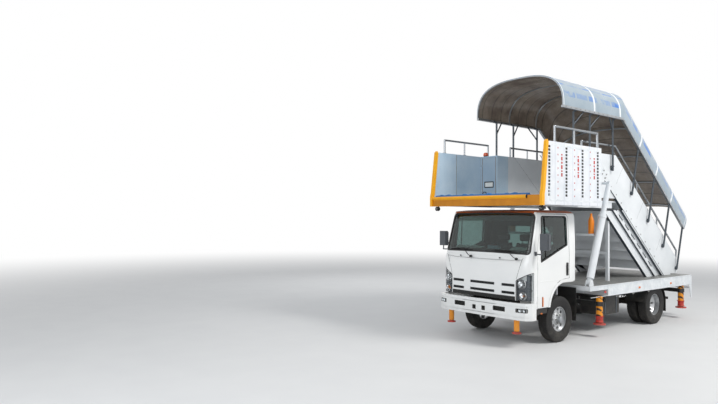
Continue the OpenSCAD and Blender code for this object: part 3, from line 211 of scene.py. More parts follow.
def circle(count):
    """Corners of a regular outline on a circle of radius 1."""
    a = np.arange(count) * 2 * np.pi / count
    return np.stack([np.cos(a), np.sin(a)], 1)


def bent(points, radius, steps=6):
    """A path with each inner corner rounded: points on a quadratic curve from radius before the corner
    to radius after it, as a tube is bent round a former."""
    points = floats(points)
    out = [points[:1]]
    for a, b, c in zip(points[:-2], points[1:-1], points[2:]):
        back, on = np.linalg.norm(a - b), np.linalg.norm(c - b)
        reach = min(radius, back / 2.01, on / 2.01)
        p, q = b + (a - b) / back * reach, b + (c - b) / on * reach
        t = np.linspace(0, 1, steps)[:, None]
        out.append((1 - t) ** 2 * p + 2 * t * (1 - t) * b + t ** 2 * q)
    return np.concatenate(out + [points[-1:]])


def tube(points, radius, bend=40, count=14):
    """A round tube along a path with rounded corners."""
    return sweep(floats(points) if len(points) < 3 else bent(points, bend), radius * circle(count))


print("a bent tube has", len(tube([(0, 0, 0), (90, 0, 0), (90, 90, 0)], 5)[0]), "corners")

# %% [markdown]
# ### Turned shapes, plates, boxes and bolts
# Caps, rings and glands are turned on a lathe; brackets, tiles and covers are cut from sheet. A profile
# about an axle and an outline with a thickness follow those two ways, with few corners.

# %% Turned shapes, plates, boxes and bolts
def turned(profile, centre, count=48, closed=False, axis=0):
    """A profile of (place along the axle, radius) corners turned about an axle through centre: x by
    default, axis 1 or 2 for y or z. Each corner becomes a circle: radius times cosine and sine."""
    profile = floats(profile)
    along = np.broadcast_to(profile[:, :1], (len(profile), count))
    round_it = circle(count)
    corners = np.stack([along, profile[:, 1:] * round_it[:, 0], profile[:, 1:] * round_it[:, 1]], -1)
    faces = grid_faces(len(profile), count, closed, True)
    if not closed:
        faces += end_faces(len(profile), count)
    inside_out = area_sign(profile) > 0 if closed else profile[-1, 0] < profile[0, 0]
    return np.roll(corners, axis, axis=-1).reshape(-1, 3) + floats(centre), outward(faces, inside_out)


def plate(outline, depth, origin=(0, 0, 0), across=(1, 0, 0), upward=(0, 0, 1)):
    """An outline of (across, upward) corners, given depth mm of thickness along across x upward."""
    outline, across, upward = floats(outline), floats(across), floats(upward)
    if area_sign(outline) < 0:
        outline = outline[::-1]
    flat = floats(origin) + outline[:, :1] * across + outline[:, 1:] * upward
    n = len(outline)
    sides = [[i, (i + 1) % n, n + (i + 1) % n, n + i] for i in range(n)]
    return np.concatenate([flat, flat + depth * np.cross(across, upward)]), end_faces(2, n) + sides


def box(lo, hi):
    """A box between two corners, as a plate of its floor outline."""
    (x0, y0, z0), (x1, y1, z1) = lo, hi
    return plate([(x0, y0), (x1, y0), (x1, y1), (x0, y1)], z1 - z0, (0, 0, z0), (1, 0, 0), (0, 1, 0))


def rounded_rect(x0, z0, x1, z1, r, steps=4):
    """Outline of a rectangle whose corners are quarter circles of radius r."""
    a = np.linspace(0, np.pi / 2, steps)
    quarter = np.stack([np.cos(a), np.sin(a)], 1) * r
    turns = [np.array([[math.cos(t), math.sin(t)], [-math.sin(t), math.cos(t)]]) for t in np.arange(4) * np.pi / 2]
    centres = [(x1 - r, z1 - r), (x0 + r, z1 - r), (x0 + r, z0 + r), (x1 - r, z0 + r)]
    return np.concatenate([quarter @ t + c for t, c in zip(turns, centres)])


def bar(wide, high, r):
    """Section of a flat bar with round edges, given half its width and half its height."""
    return rounded_rect(-wide, -high, wide, high, r)


def side_tile(x, y0, z0, y1, z1, r, depth):
    """A plate with round corners that stands depth mm out from x and looks to the left side."""
    return plate(rounded_rect(y0, z0, y1, z1, r), depth, (x, 0, 0), (0, 1, 0))


def rear_tile(y, x0, z0, x1, z1, r, depth):
    """The same from y on, looking to the rear."""
    return plate(rounded_rect(-x1, z0, -x0, z1, r), depth, (0, y, 0), (-1, 0, 0))


def bolts(places, facing, size=10, height=6):
    """Hexagon heads at places, all facing one way: a short six-sided prism each."""
    facing = floats(facing) / np.linalg.norm(facing)
    across = np.cross(facing, [0.3, 0.5, 0.8])
    across /= np.linalg.norm(across)
    upward = np.cross(facing, across)
    return join(*[plate(size * circle(6), height, p, across, upward) for p in floats(places)])


print("a nut has", len(bolts([(0, 0, 0)], (1, 0, 0))[1]), "faces")

# %% [markdown]
# ## Finishes
# Each finish starts from the real surface and from how it was made. One recipe fits most of them: the
# colour drifts in patches, a fine grain moves the gloss and the relief, and road dust gathers low down
# and on faces that look up. A pattern of its own, such as tread bars or weave, is handed in as a mask.

# %% Nodes and colours
def linear(code):
    """An sRGB hex colour as the linear values that a shader takes."""
    v = np.array([int(code[i:i + 2], 16) / 255 for i in (0, 2, 4)])
    return (*np.where(v <= 0.04045, v / 12.92, ((v + 0.055) / 1.055) ** 2.4).tolist(), 1.0)


def add(tree, kind, inputs=(), out=0, **settings):
    """Adds one node and returns one of its outputs. inputs holds a value or the output that feeds it for
    each input, by name, or as a list in the node's own order. A second word in kind is the operation."""
    kind, _, operation = kind.partition(" ")
    made = tree.nodes.new("ShaderNode" + kind)
    if operation:
        made.operation = operation
    for key, value in settings.items():
        setattr(made, key, value)
    for key, value in inputs.items() if isinstance(inputs, dict) else enumerate(inputs):
        if isinstance(value, bpy.types.NodeSocket):
            tree.links.new(value, made.inputs[key])
        else:
            made.inputs[key].default_value = value
    return made.outputs[out] if made.outputs else made


def blank(owner):
    """The emptied node tree of a material or a world."""
    owner.use_nodes = True
    owner.node_tree.nodes.clear()
    return owner.node_tree


print("mid grey 808080 is", round(linear("808080")[0], 3), "as a linear value")

# %% [markdown]
# ### One recipe for most finishes
# Paint, rubber, cast iron and cloth differ in colour, gloss, grain and dirt, but age in the same ways.
# One recipe with those as numbers keeps them alike in one light. Clear parts get one of their own.

# %% One recipe for most finishes
PAINT, SLOT = {}, {}
DUST = linear("A79F90")
RGBA = {"data_type": "RGBA", "out": 2}


def finish(name, slot, colour, tint, patch, amount, rough, grain, relief, metallic=0.0, stretch=(1, 1, 1),
           dust=0.0, dust_top=1100, pattern=None, ink=None, height=0.0, more={}):
    """A finish. Colour drifts to tint over patches `patch` mm wide; grain of `grain` mm moves roughness
    between the two values of rough and lifts the surface by relief mm; stretch draws the grain out.
    dust is how much dust lies on the surface near the ground. pattern(tree, place) gives a mask from 0
    to 1, at which the colour is ink and the surface stands height mm proud. more holds shader inputs."""
    material = bpy.data.materials.new(name)
    tree = blank(material)
    coordinates = add(tree, "TexCoord").node.outputs
    place = coordinates["Object"]
    drawn = add(tree, "Mapping", {"Vector": place, "Scale": stretch})
    wide = add(tree, "TexNoise", {"Vector": place, "Scale": 1000 / patch, "Detail": 5.0, "Roughness": 0.62})
    fine = add(tree, "TexNoise", {"Vector": drawn, "Scale": 1000 / grain, "Detail": 3.0, "Roughness": 0.6})
    drift = add(tree, "MapRange", [wide, 0.35, 0.68, 0.0, amount])
    base = add(tree, "Mix", {0: drift, 6: linear(colour), 7: linear(tint)}, **RGBA)
    lift = add(tree, "Math MULTIPLY", [fine, relief / 1000])
    if pattern:
        mask = pattern(tree, place)
        if ink:
            base = add(tree, "Mix", {0: mask, 6: base, 7: linear(ink)}, **RGBA)
        lift = add(tree, "Math MULTIPLY_ADD", [mask, height / 1000, lift])
    mixed = add(tree, "Math MULTIPLY_ADD", [fine, 0.6, add(tree, "Math MULTIPLY", [wide, 0.4])])
    gloss = add(tree, "MapRange", [mixed, 0.35, 0.65, *rough])
    if dust:
        z = add(tree, "SeparateXYZ", [place], 2)
        low = add(tree, "MapRange", [z, dust_top / 1000, 0.15])
        facing = add(tree, "SeparateXYZ", [coordinates["Normal"]], 2)
        upward = add(tree, "MapRange", [facing, 0.5, 1.0, 0.0, 0.35])
        spots = add(tree, "TexNoise", {"Vector": place, "Scale": 9.0, "Detail": 8.0, "Roughness": 0.75})
        spots = add(tree, "MapRange", [spots, 0.38, 0.72])
        cover = add(tree, "Math MULTIPLY_ADD", [low, low, upward])
        cover = add(tree, "Math MULTIPLY", [cover, spots])
        cover = add(tree, "Math MULTIPLY", [cover, dust], use_clamp=True)
        base = add(tree, "Mix", {0: cover, 6: base, 7: DUST}, **RGBA)
        gloss = add(tree, "Mix", {0: cover, 2: gloss, 3: 0.85})
    normal = add(tree, "Bump", {"Height": lift, "Distance": 1.0, "Strength": 1.0})
    shader = add(tree, "BsdfPrincipled", {"Base Color": base, "Roughness": gloss, "Normal": normal,
                                         "Metallic": metallic, **more})
    add(tree, "OutputMaterial", [shader])
    material.diffuse_color = linear(colour)
    PAINT[name], SLOT[name] = material, slot


def glass(name, slot, colour, rough=0.02, **more):
    """Clear glass or plastic: light passes through it, with a little dirt in the gloss."""
    material = bpy.data.materials.new(name)
    tree = blank(material)
    place = add(tree, "TexCoord", out="Object")
    smear = add(tree, "TexNoise", {"Vector": place, "Scale": 7.0, "Detail": 6.0, "Roughness": 0.7})
    gloss = add(tree, "MapRange", [smear, 0.35, 0.75, rough, rough * 2.5])
    shader = add(tree, "BsdfPrincipled", {"Base Color": linear(colour), "Roughness": gloss, "IOR": 1.5,
                                         "Transmission Weight": 1.0, **more})
    add(tree, "OutputMaterial", [shader])
    material.diffuse_color = (*linear(colour)[:3], 0.4)
    PAINT[name], SLOT[name] = material, slot


print("road dust as linear values", [round(v, 2) for v in DUST])

# %% [markdown]
# ### Patterns
# Tread plate has short bars that lie crosswise by turns, about 30 mm apart. Cloth has threads that pass
# over and under. Both are worked out from the place on the piece, not from an image.

# %% Masks for patterned finishes
def tread_bars(tree, place, pitch=34.0):
    """Raised bars: in each square cell of the pitch lies one long thin ellipse, turned half a right
    angle one way or the other by turns, as a chessboard has its colours."""
    scaled = add(tree, "VectorMath MULTIPLY", [place, (1000 / pitch,) * 3])
    x, y, _ = add(tree, "SeparateXYZ", [scaled]).node.outputs
    cell = add(tree, "Math ADD", [add(tree, "Math FLOOR", [x]), add(tree, "Math FLOOR", [y])])
    parity = add(tree, "Math MODULO", [add(tree, "Math ADD", [cell, 1000.0]), 2.0])
    sign = add(tree, "Math MULTIPLY_ADD", [parity, 2.0, -1.0])
    u, v = (add(tree, "Math SUBTRACT", [add(tree, "Math FRACT", [side]), 0.5]) for side in (x, y))
    v = add(tree, "Math MULTIPLY", [v, sign])
    along = add(tree, "Math MULTIPLY", [add(tree, "Math ADD", [u, v]), 1.5])
    aside = add(tree, "Math MULTIPLY", [add(tree, "Math SUBTRACT", [u, v]), 5.5])
    distance = add(tree, "Math MULTIPLY_ADD", [along, along, add(tree, "Math MULTIPLY", [aside, aside])])
    return add(tree, "MapRange", [distance, 1.0, 0.45], interpolation_type="SMOOTHSTEP")


def stripes(axis, pitch, share):
    """A mask of straight stripes across one axis: 1 over the given share of each pitch in mm."""
    def mask(tree, place):
        """The stripes at a place."""
        value = add(tree, "SeparateXYZ", [place], axis)
        phase = add(tree, "Math FRACT", [add(tree, "Math MULTIPLY", [value, 1000 / pitch])])
        wave = add(tree, "Math ABSOLUTE", [add(tree, "Math SUBTRACT", [phase, 0.5])])
        return add(tree, "MapRange", [wave, share / 2 + 0.04, share / 2 - 0.04])
    return mask


def hazard(tree, place):
    """Slanted bars round the jacks behind the cab: stripes across y + z, worn off in places."""
    _, y, z = add(tree, "SeparateXYZ", [place]).node.outputs
    slant = add(tree, "Math MULTIPLY_ADD", [y, 0.9, z])
    phase = add(tree, "Math FRACT", [add(tree, "Math MULTIPLY", [slant, 8.5])])
    wave = add(tree, "Math ABSOLUTE", [add(tree, "Math SUBTRACT", [phase, 0.5])])
    stripe = add(tree, "MapRange", [wave, 0.2, 0.17])
    behind = add(tree, "Math GREATER_THAN", [y, -2.0])
    worn = add(tree, "TexNoise", {"Vector": place, "Scale": 14.0, "Detail": 6.0, "Roughness": 0.7})
    kept = add(tree, "MapRange", [worn, 0.36, 0.46])
    return add(tree, "Math MULTIPLY", [add(tree, "Math MULTIPLY", [stripe, behind]), kept], use_clamp=True)


def film_marks(tree, place):
    """The sheets still carry their blue protective film: long broken bars of blue along the truck, laid
    like bricks, and worn away in patches."""
    along = add(tree, "Mapping", {"Vector": place, "Rotation": (0, 0, math.pi / 2)})
    bars = add(tree, "TexBrick", {"Vector": along, "Color1": (1, 1, 1, 1), "Color2": (0.2, 0.2, 0.2, 1),
                                  "Mortar": (0, 0, 0, 1), "Scale": 1.0, "Mortar Size": 0.032,
                                  "Brick Width": 0.42, "Row Height": 0.085})
    worn = add(tree, "TexNoise", {"Vector": place, "Scale": 3.2, "Detail": 6.0, "Roughness": 0.7})
    return add(tree, "Math MULTIPLY", [bars, add(tree, "MapRange", [worn, 0.4, 0.52])], use_clamp=True)


def weave(tree, place, thread=9.0):
    """Plain weave: the product of two sines across and along, drawn coarser than the real 1 mm thread so
    that it shows."""
    scaled = add(tree, "VectorMath MULTIPLY", [place, (2000 * math.pi / thread,) * 3])
    x, y, z = add(tree, "SeparateXYZ", [scaled]).node.outputs
    across = add(tree, "Math SINE", [x])
    along = add(tree, "Math SINE", [add(tree, "Math ADD", [y, z])])
    return add(tree, "MapRange", [add(tree, "Math MULTIPLY", [across, along]), -1.0, 1.0])


print("masks", [mask.__name__ for mask in (tread_bars, hazard, film_marks, weave)], "and stripes")

# %% [markdown]
# ### The paints, metals, rubbers and plastics of the truck
# Each row gives a finish its slot, two colours, the width in mm and strength of its patches, its
# roughness from and to, and its grain and relief in mm. Base colours are read off the photograph.
# Dielectrics keep an IOR near 1.5; bare metals are metallic and take their colour from the metal.

# %% Paints
# Two-pack enamel sprayed on pressed steel: even, glossy, with a faint orange peel
finish("cab_enamel", "white_paint", "F1F2F1", "E4E7E8", 900, 0.5, (0.16, 0.24), 6, 0.012, dust=0.5,
       more={"Coat Weight": 0.4, "Coat Roughness": 0.06})
# Sprayed over weldments: a duller white, greyed towards blue-grey as painted partial shade, with dust
finish("structure_enamel", "white_paint", "E4E8EB", "D2D7DB", 500, 0.6, (0.3, 0.45), 3, 0.03, dust=0.55,
       dust_top=1500)
# Chassis black, brushed on, greyed by road dust
finish("chassis_black", "chassis_paint", "131416", "202020", 350, 0.8, (0.4, 0.62), 2.5, 0.06, dust=0.35,
       dust_top=1000)
# Signal yellow on the jacks with black hazard stripes, chipped and greasy
finish("jack_orange", "orange_paint", "F09A1A", "D9820F", 120, 0.7, (0.28, 0.5), 2, 0.04, dust=0.2,
       dust_top=900, pattern=hazard, ink="17171A")
# The orange-brown on the front of the roof is a painted reflection of the yellow bumper roll above it
finish("roof_painted_reflection", "orange_paint", "B4561C", "9C4716", 300, 0.7, (0.25, 0.4), 4, 0.03)
# Red jack feet, scraped on the ground; the grey-blue cupboards and their brown edges
finish("pad_red", "orange_paint", "C8281C", "8E1F18", 70, 0.8, (0.35, 0.6), 2, 0.06, dust=0.5, dust_top=600)
finish("cabinet_paint", "cabinet_paint", "9DB2C4", "AFC1CF", 500, 0.7, (0.3, 0.42), 2.5, 0.03)
finish("edge_brown", "cabinet_paint", "8A6E52", "6F5842", 120, 0.7, (0.5, 0.7), 1.6, 0.06)
# Painted shade under the flights: their undersides are a dark blue-grey, as they look in deep shade
finish("underside_painted_shade", "white_paint", "3B434D", "2D343C", 300, 0.8, (0.4, 0.6), 3, 0.05, dust=0.2,
       dust_top=1500)
print("paints", len(PAINT))

# %% [markdown]
# ### Metals
# Cast, drawn, ground, plated and rolled metals differ more by grain and gloss than by colour. Rails have
# a grain drawn out one way, and tread plate takes its bars from the pattern above.

# %% Metals
# Cast and forged iron, rough and rusty; pressed wheels in silver lacquer over bright metal
finish("axle_iron", "cast_iron_parts", "2B2A29", "3A332C", 120, 0.9, (0.5, 0.75), 2, 0.25, 0.35, dust=0.5,
       dust_top=900)
finish("wheel_silver", "wheel_paint", "C9CBCD", "A6A8AA", 160, 0.7, (0.24, 0.42), 2, 0.03, 0.85, dust=0.12,
       dust_top=800)
# Galvanised posts gone dull, polished stainless rails drawn lengthwise, mill-finish aluminium, zinc
finish("support_steel", "frame_aluminium", "565C62", "474D53", 240, 0.8, (0.3, 0.5), 1.6, 0.03, 0.85)
finish("stainless", "rail_steel", "A6AAAE", "8E9296", 220, 0.6, (0.16, 0.3), 1.2, 0.01, 1.0, (1, 1, 0.08))
finish("hoop_aluminium", "frame_aluminium", "B4B8BC", "9A9EA2", 180, 0.7, (0.28, 0.42), 1.4, 0.02, 0.95)
finish("zinc_bolt", "rail_steel", "AEB0AE", "8E8F8C", 40, 0.8, (0.35, 0.5), 1, 0.03, 0.9)
# Hard chrome, ground and polished; vacuum-coated reflectors; silvered glass
finish("chromed_rod", "rod_chrome", "D4D6D8", "C4C6C9", 120, 0.5, (0.06, 0.14), 1, 0.004, 1.0)
finish("reflector_chrome", "rod_chrome", "DDDFE1", "C8CACD", 60, 0.5, (0.05, 0.12), 1, 0.004, 1.0)
finish("mirror_glass", "cab_glazing", "C9CCCE", "C2C5C8", 200, 0.4, (0.02, 0.05), 2, 0.001, 1.0)
# Aluminium tread plate, bright on its bars; the deck's is walked on and driven over, so it is greyer
finish("tread_plate", "tread_plate", "A9ACAE", "8F9294", 260, 0.8, (0.32, 0.55), 1.6, 0.04, 0.85, dust=0.5,
       dust_top=1800, pattern=tread_bars, ink="C9CCCE", height=1.6)
finish("deck_tread", "tread_plate", "8B8E8F", "75787A", 260, 0.8, (0.4, 0.6), 1.6, 0.05, 0.7, dust=0.75,
       dust_top=1800, pattern=tread_bars, ink="AEB1B2", height=1.6)
print("with the metals", len(PAINT))

# %% [markdown]
# ### Rubbers, cloth and paper
# These have hardly any gloss: light is lost in a fine relief, so they are rough with a short grain.
# Tyres and seals bloom grey with age, and woven cloth has a faint sheen at a low angle.

# %% Rubbers, cloth and paper
# Moulded tyre and seal rubber, bloomed grey by dust
finish("tyre_rubber", "tyre_rubber", "141415", "1E1E1E", 140, 0.8, (0.6, 0.82), 1.6, 0.08, dust=0.14,
       dust_top=700)
finish("seal_rubber", "black_plastic", "111112", "1C1C1C", 150, 0.7, (0.5, 0.7), 1.5, 0.04, dust=0.2)
# The bumper roll's skin is yellow rubber, darker and rougher on the lower part of its front face
finish("bumper_rubber", "bumper_rubber", "FBB40C", "EDA208", 260, 0.7, (0.34, 0.5), 2.2, 0.08, dust=0.15,
       dust_top=3000)
finish("rubber_darker_low", "bumper_rubber", "CC8410", "B8740A", 160, 0.8, (0.45, 0.65), 2.2, 0.1)
# Black grit in resin on the nosings; a blue film still lies on the platform's floor
finish("nosing_grit", "tread_plate", "2A2B2D", "37383A", 60, 0.8, (0.75, 0.95), 1.2, 0.3)
finish("floor_mat", "bumper_rubber", "2C6FB4", "23609F", 200, 0.7, (0.5, 0.7), 3, 0.2,
       pattern=stripes(0, 12, 0.5), ink="2F78C0", height=0.8)
finish("seat_cloth", "seat_cloth", "33363B", "26282C", 120, 0.7, (0.8, 0.95), 1.4, 0.1, pattern=weave,
       ink="44474D", height=0.5, more={"Sheen Weight": 0.35})
finish("paper_white", "cab_trim", "E8E9E6", "D9DBD8", 80, 0.6, (0.7, 0.9), 1.5, 0.05)
print("with rubbers, cloth and paper", len(PAINT))

# %% [markdown]
# ### Plastics, sheets and films
# Mouldings take their grain from the mould, lenses have ribs inside that spread the light, and film
# lies on new panels in faint folds. Ribs and folds are striped masks; clear parts let light through.

# %% Plastics, sheets and films
# Grained black ABS, the cab's dark moulded trim, and mouldings in two greys
finish("black_abs", "black_plastic", "141516", "1E1F20", 200, 0.7, (0.38, 0.55), 1.4, 0.05, dust=0.25,
       dust_top=1300)
finish("radiator_black", "black_plastic", "0E0F10", "17181A", 120, 0.8, (0.5, 0.7), 2, 0.1, 0.3,
       pattern=stripes(0, 9, 0.45), ink="232527", height=1.2)
finish("cab_trim", "cab_trim", "2A2C2F", "222427", 200, 0.7, (0.5, 0.7), 1.6, 0.08)
finish("pale_trim", "cab_trim", "9A9C9C", "87898A", 250, 0.7, (0.55, 0.75), 2, 0.06)
finish("mirror_grey", "black_plastic", "4F5358", "5B5F64", 160, 0.7, (0.45, 0.6), 1.4, 0.05)
finish("lamp_grey", "lamp_lens", "5F656B", "474C52", 60, 0.8, (0.18, 0.35), 2, 0.02, 0.7)
finish("cone_orange", "cone_plastic", "F08A12", "DB7608", 150, 0.6, (0.35, 0.5), 2, 0.05)
# Lenses with prisms inside: clear acrylic over a coloured body, drawn as fine ribs
for name, colour, tint, patch, amount, ink, pitch, rough, height, coat in (
        ("beacon_lens", "DE4A18", "C93C12", 40, 0.6, "EE6A30", 7, (0.08, 0.16), 0.4, 0.6),
        ("amber_plastic", "E0701A", "CC5F12", 30, 0.7, "EE8A30", 8, (0.12, 0.22), 0.3, 0.5),
        ("red_plastic", "B81A14", "9C130F", 30, 0.7, "CC2C22", 8, (0.12, 0.22), 0.3, 0.5)):
    finish(name, "beacon_lens", colour, tint, patch, amount, rough, 2.5, 0.05, pattern=stripes(2, pitch, 0.4),
           ink=ink, height=height, more={"Coat Weight": coat})
# Lacquered inner panels, whose blue drift is a painted reflection of the sky, and outer ones under a film with faint
# folds
finish("inner_panel_sky_reflection", "cabinet_paint", "CFE2F0", "A3C2DA", 700, 0.8, (0.22, 0.34), 4, 0.02,
       more={"Coat Weight": 0.25, "Coat Roughness": 0.1})
finish("film_panel", "white_paint", "E9ECF0", "D6DBE2", 260, 0.8, (0.25, 0.42), 30, 1.6,
       pattern=stripes(1, 268, 0.05), ink="C7CED8", height=-0.4)
# Film round the deck's edge, crumpled in the wind, with a grey tone in its folds
finish("film_deck", "white_paint", "E6EAED", "C9D0D6", 170, 0.7, (0.25, 0.4), 190, 26, dust=0.3,
       dust_top=1400)
# Polycarbonate sheet with its film on, outside, and bare and in shade inside, where the lighter brown patches are
# painted highlights
finish("sheet_outside", "canopy_sheet", "9CAAB4", "8698A5", 420, 0.8, (0.26, 0.4), 8, 0.06, 0.15,
       pattern=film_marks, ink="1C6CC0", height=0.05, more={"Coat Weight": 0.15})
finish("sheet_inside", "canopy_sheet", "776A60", "A39789", 380, 0.9, (0.14, 0.3), 8, 0.08,
       pattern=stripes(1, 300, 0.03), ink="3F3A36", height=-0.5)
# Float glass tinted green, the shade band's deeper green, clear and amber lamp plastics
glass("tinted_glass", "cab_glazing", "8FA6A3", 0.01, **{"Specular IOR Level": 0.25})
glass("shade_green", "cab_glazing", "1F6A58")
glass("lamp_glass", "lamp_lens", "F4F7F8")
glass("amber_lens", "beacon_lens", "F28A1C", 0.06)
print("finishes", len(PAINT))

# %% [markdown]
# ## Dress the solids
# The solids have the right shapes, but come as loose triangles, so that a tube looks faceted. Each gets
# a copy whose corners are merged. Faces that meet at a small angle are then shaded as one curve, a
# narrow bevel breaks the hard edges as a real pressing or casting has them, and the finish goes on.

# %% Make a piece, and copy a solid
def settle(thing, body, finish_names, bevel, sharp):
    """Gives a mesh object its finishes, shading, bevel in mm and the body it rides on."""
    for name in finish_names:
        thing.data.materials.append(PAINT[name])
    thing.data.shade_smooth()
    thing.data.set_sharp_from_angle(angle=math.radians(sharp))
    if bevel:
        edge = thing.modifiers.new("edges", "BEVEL")
        edge.width, edge.segments, edge.limit_method = bevel / 1000, 2, "ANGLE"
        edge.angle_limit, edge.harden_normals = math.radians(sharp), True
        edge.miter_outer = "MITER_ARC"
    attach(thing, body)
    return thing


def piece(name, shape, finish_name, body="truck", bevel=0.0, sharp=32):
    """A new piece from a shape, in mm from the front axle."""
    mesh = bpy.data.meshes.new(name)
    mesh.from_pydata(at(shape[0]).tolist(), [], shape[1])
    mesh.validate()
    return settle(placed(name, mesh), body, [finish_name], bevel, sharp)


def pair(name, shape, finish_name, body="truck", **options):
    """A piece and its mirror image, each on the body of its own side."""
    for side, form in (("left", shape), ("right", flipped(shape))):
        piece(name + "_" + side, form, finish_name, body.replace("SIDE", side), **options)


def dressed(node, finish_names, bevel=0.0, pick=None, sharp=32):
    """A copy of a solid with its corners merged, which stands for it. pick(middles, normals) gives the
    number of the finish of each face, where a solid has more than one."""
    thing = placed(node + "_dressed", nodes[node].data.copy())
    mesh = thing.data
    mesh.materials.clear()
    work = bmesh.new()
    work.from_mesh(mesh)
    bmesh.ops.remove_doubles(work, verts=work.verts, dist=1e-5)
    bmesh.ops.dissolve_limit(work, angle_limit=math.radians(0.4), verts=work.verts, edges=work.edges)
    work.to_mesh(mesh)
    work.free()
    if "custom_normal" in mesh.attributes:
        mesh.attributes.remove(mesh.attributes["custom_normal"])
    settle(thing, nodes[node]["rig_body"], finish_names, bevel, sharp)
    if pick:
        middles, normals = np.zeros((2, len(mesh.polygons) * 3))
        mesh.polygons.foreach_get("center", middles)
        mesh.polygons.foreach_get("normal", normals)
        middles = (middles.reshape(-1, 3) - [0, AXLE_Y, 0]) * 1000
        mesh.polygons.foreach_set("material_index", pick(middles, normals.reshape(-1, 3)).astype(np.int32))
    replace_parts(thing, node)


# %% [markdown]
# ### Solids with one finish
# Most parts are painted or plated all over. A folded sheet has a small edge radius and a moulding a wide
# one, so each solid is listed under its finish with the width of its bevel in mm.

# %% Solids with one finish, and how wide their edges are broken
SIDES = (("left", 1), ("right", -1))
DRESS = {
    "chassis_black": {"chassis_frame": 1.5, "side_equipment": 8},
    "axle_iron": {"front_axle": 0, "rear_axle": 0, "driveline": 6, "steering_knuckle_left": 2,
                  "steering_knuckle_right": 2},
    "wheel_silver": {"front_wheel_left": 1.5, "front_wheel_right": 1.5, "rear_wheels_left": 1.5,
                     "rear_wheels_right": 1.5},
    "cab_enamel": {"nose_panel": 3, "front_bumper": 4},
    "cab_trim": {"dashboard": 3},
    "mirror_grey": {"mirrors": 14},
    "tinted_glass": {"door_glass_left": 0, "door_glass_right": 0, "cab_glass": 0},
    "lamp_glass": {"headlamps": 0},
    "black_abs": {"mudguards": 0},
    "jack_orange": {"jack_barrels": 1.5},
    "structure_enamel": {"stair_panels": 3, "cone_rack": 2, "post_outer_tubes": 2, "post_middle_tubes": 0,
                         "post_inner_tubes": 0},
    "inner_panel_sky_reflection": {"platform_cabinets": 2},
    "cabinet_paint": {"cabinet_door": 2},
    "stainless": {"handrails": 0},
    "hoop_aluminium": {"canopy_hoops": 0, "canopy_rails": 3},
    "support_steel": {"canopy_posts": 0, "canopy_supports": 0},
    "cone_orange": {"warning_cones": 3},
}
for finish_name, members in DRESS.items():
    for node, bevel in members.items():
        dressed(node, [finish_name], bevel)
print("dressed", sum(len(members) for members in DRESS.values()))


# %% [markdown]
# ### Solids with several finishes
# A cab's wall is white outside and dark trim inside, and a step has tread plate on top and a dark painted
# shade below. The finish of each face is chosen by where its middle lies and which way it looks.

# %% Solids with several finishes
def looks_up(low, high):
    """Chooses the second finish for faces that look up between two heights."""
    return lambda middle, normal: (normal[:, 2] > 0.9) & (middle[:, 2] > low) & (middle[:, 2] < high)


def looks_into_cab(middle, normal):
    """True where a face looks towards a point in the middle of the cab."""
    return ((np.array([0, -270, 1700]) - middle) * normal).sum(1) > 0


def cab_faces(middle, normal):
    """Trim on the inside of the walls, and on the brow over the windscreen an orange-brown painted reflection of the
    bumper roll.
    """
    x, y, z = middle.T
    inside = (np.abs(x) < 962) & (y > -985) & (y < 436) & (z > 1085) & looks_into_cab(middle, normal)
    brow = (z > 2303) & (y < 0) & ((normal[:, 1] < -0.2) | (normal[:, 2] > 0.2))
    return np.where(brow, 2, inside)


def roof_faces(middle, normal):
    """The orange-brown painted reflection of the bumper roll on the outside of the roof's front, dark trim on its
    underside.
    """
    lining = looks_into_cab(middle, normal) & (np.abs(middle[:, 0]) < 955) & (middle[:, 1] < 430)
    return np.where(lining, 2, middle[:, 1] < 200)


def deck_faces(middle, normal):
    """Tread plate on top, and film round the edge."""
    edge = (np.abs(normal[:, 2]) < 0.5) & (np.abs(middle[:, 0]) > 1132)
    return np.where(looks_up(960, 970)(middle, normal), 1, edge * 2)


def flight_faces(middle, normal):
    """Tread plate on top of the steps and a dark painted shade on their undersides."""
    return np.where(normal[:, 2] < -0.3, 2, looks_up(1000, 2600)(middle, normal))


def bumper_faces(middle, normal):
    """Darker rubber on the lower part of the face that meets the aircraft."""
    return (normal[:, 1] < -0.9) & (middle[:, 2] < 2575) & (np.abs(middle[:, 0]) < 1200)


def inside_of_arch(middle, normal):
    """Chooses the second finish where a face of the canopy looks towards the axis of its arch."""
    axis_z = np.where(middle[:, 1] < 2170, 4270, 4270 - (middle[:, 1] - 2170) * 0.8) - 40
    return middle[:, 0] * normal[:, 0] + (middle[:, 2] - axis_z) * normal[:, 2] < 0


FOOT_TOP, BEACON_FOOT = 279, 3538
dressed("cab_shell", ["cab_enamel", "cab_trim", "roof_painted_reflection"], 3, cab_faces)
for side, sign in SIDES:
    dressed("door_" + side, ["cab_enamel", "cab_trim"], 2.5,
            lambda m, n, sign=sign: (m[:, 0] * sign < 962) & (n[:, 0] * sign < -0.5))
dressed("deck", ["structure_enamel", "deck_tread", "film_deck"], 2, deck_faces)
for name in ("lower_flight", "middle_flight", "upper_flight"):
    dressed(name, ["structure_enamel", "tread_plate", "underside_painted_shade"], 1.5, flight_faces)
dressed("platform_bumper", ["bumper_rubber", "rubber_darker_low"], 8, bumper_faces)
dressed("platform_floor", ["structure_enamel", "tread_plate"], 2, looks_up(2570, 2590))
dressed("cab_roof", ["cab_enamel", "roof_painted_reflection", "cab_trim"], 2, roof_faces)
# the inner faces of the walls get the finish whose blue drift is a painted sky reflection
dressed("platform_walls", ["film_panel", "inner_panel_sky_reflection"], 3, lambda m, n: m[:, 0] * n[:, 0] < 0)
dressed("canopy_sheets", ["sheet_outside", "sheet_inside"], 0, inside_of_arch, 50)
for name in ("front_jack_legs", "middle_jack_legs", "rear_jack_legs"):
    dressed(name, ["chromed_rod", "pad_red"], 1.5, lambda m, n: m[:, 2] < FOOT_TOP)
dressed("platform_lamps", ["black_abs", "beacon_lens"], 2, lambda m, n: m[:, 2] > BEACON_FOOT)

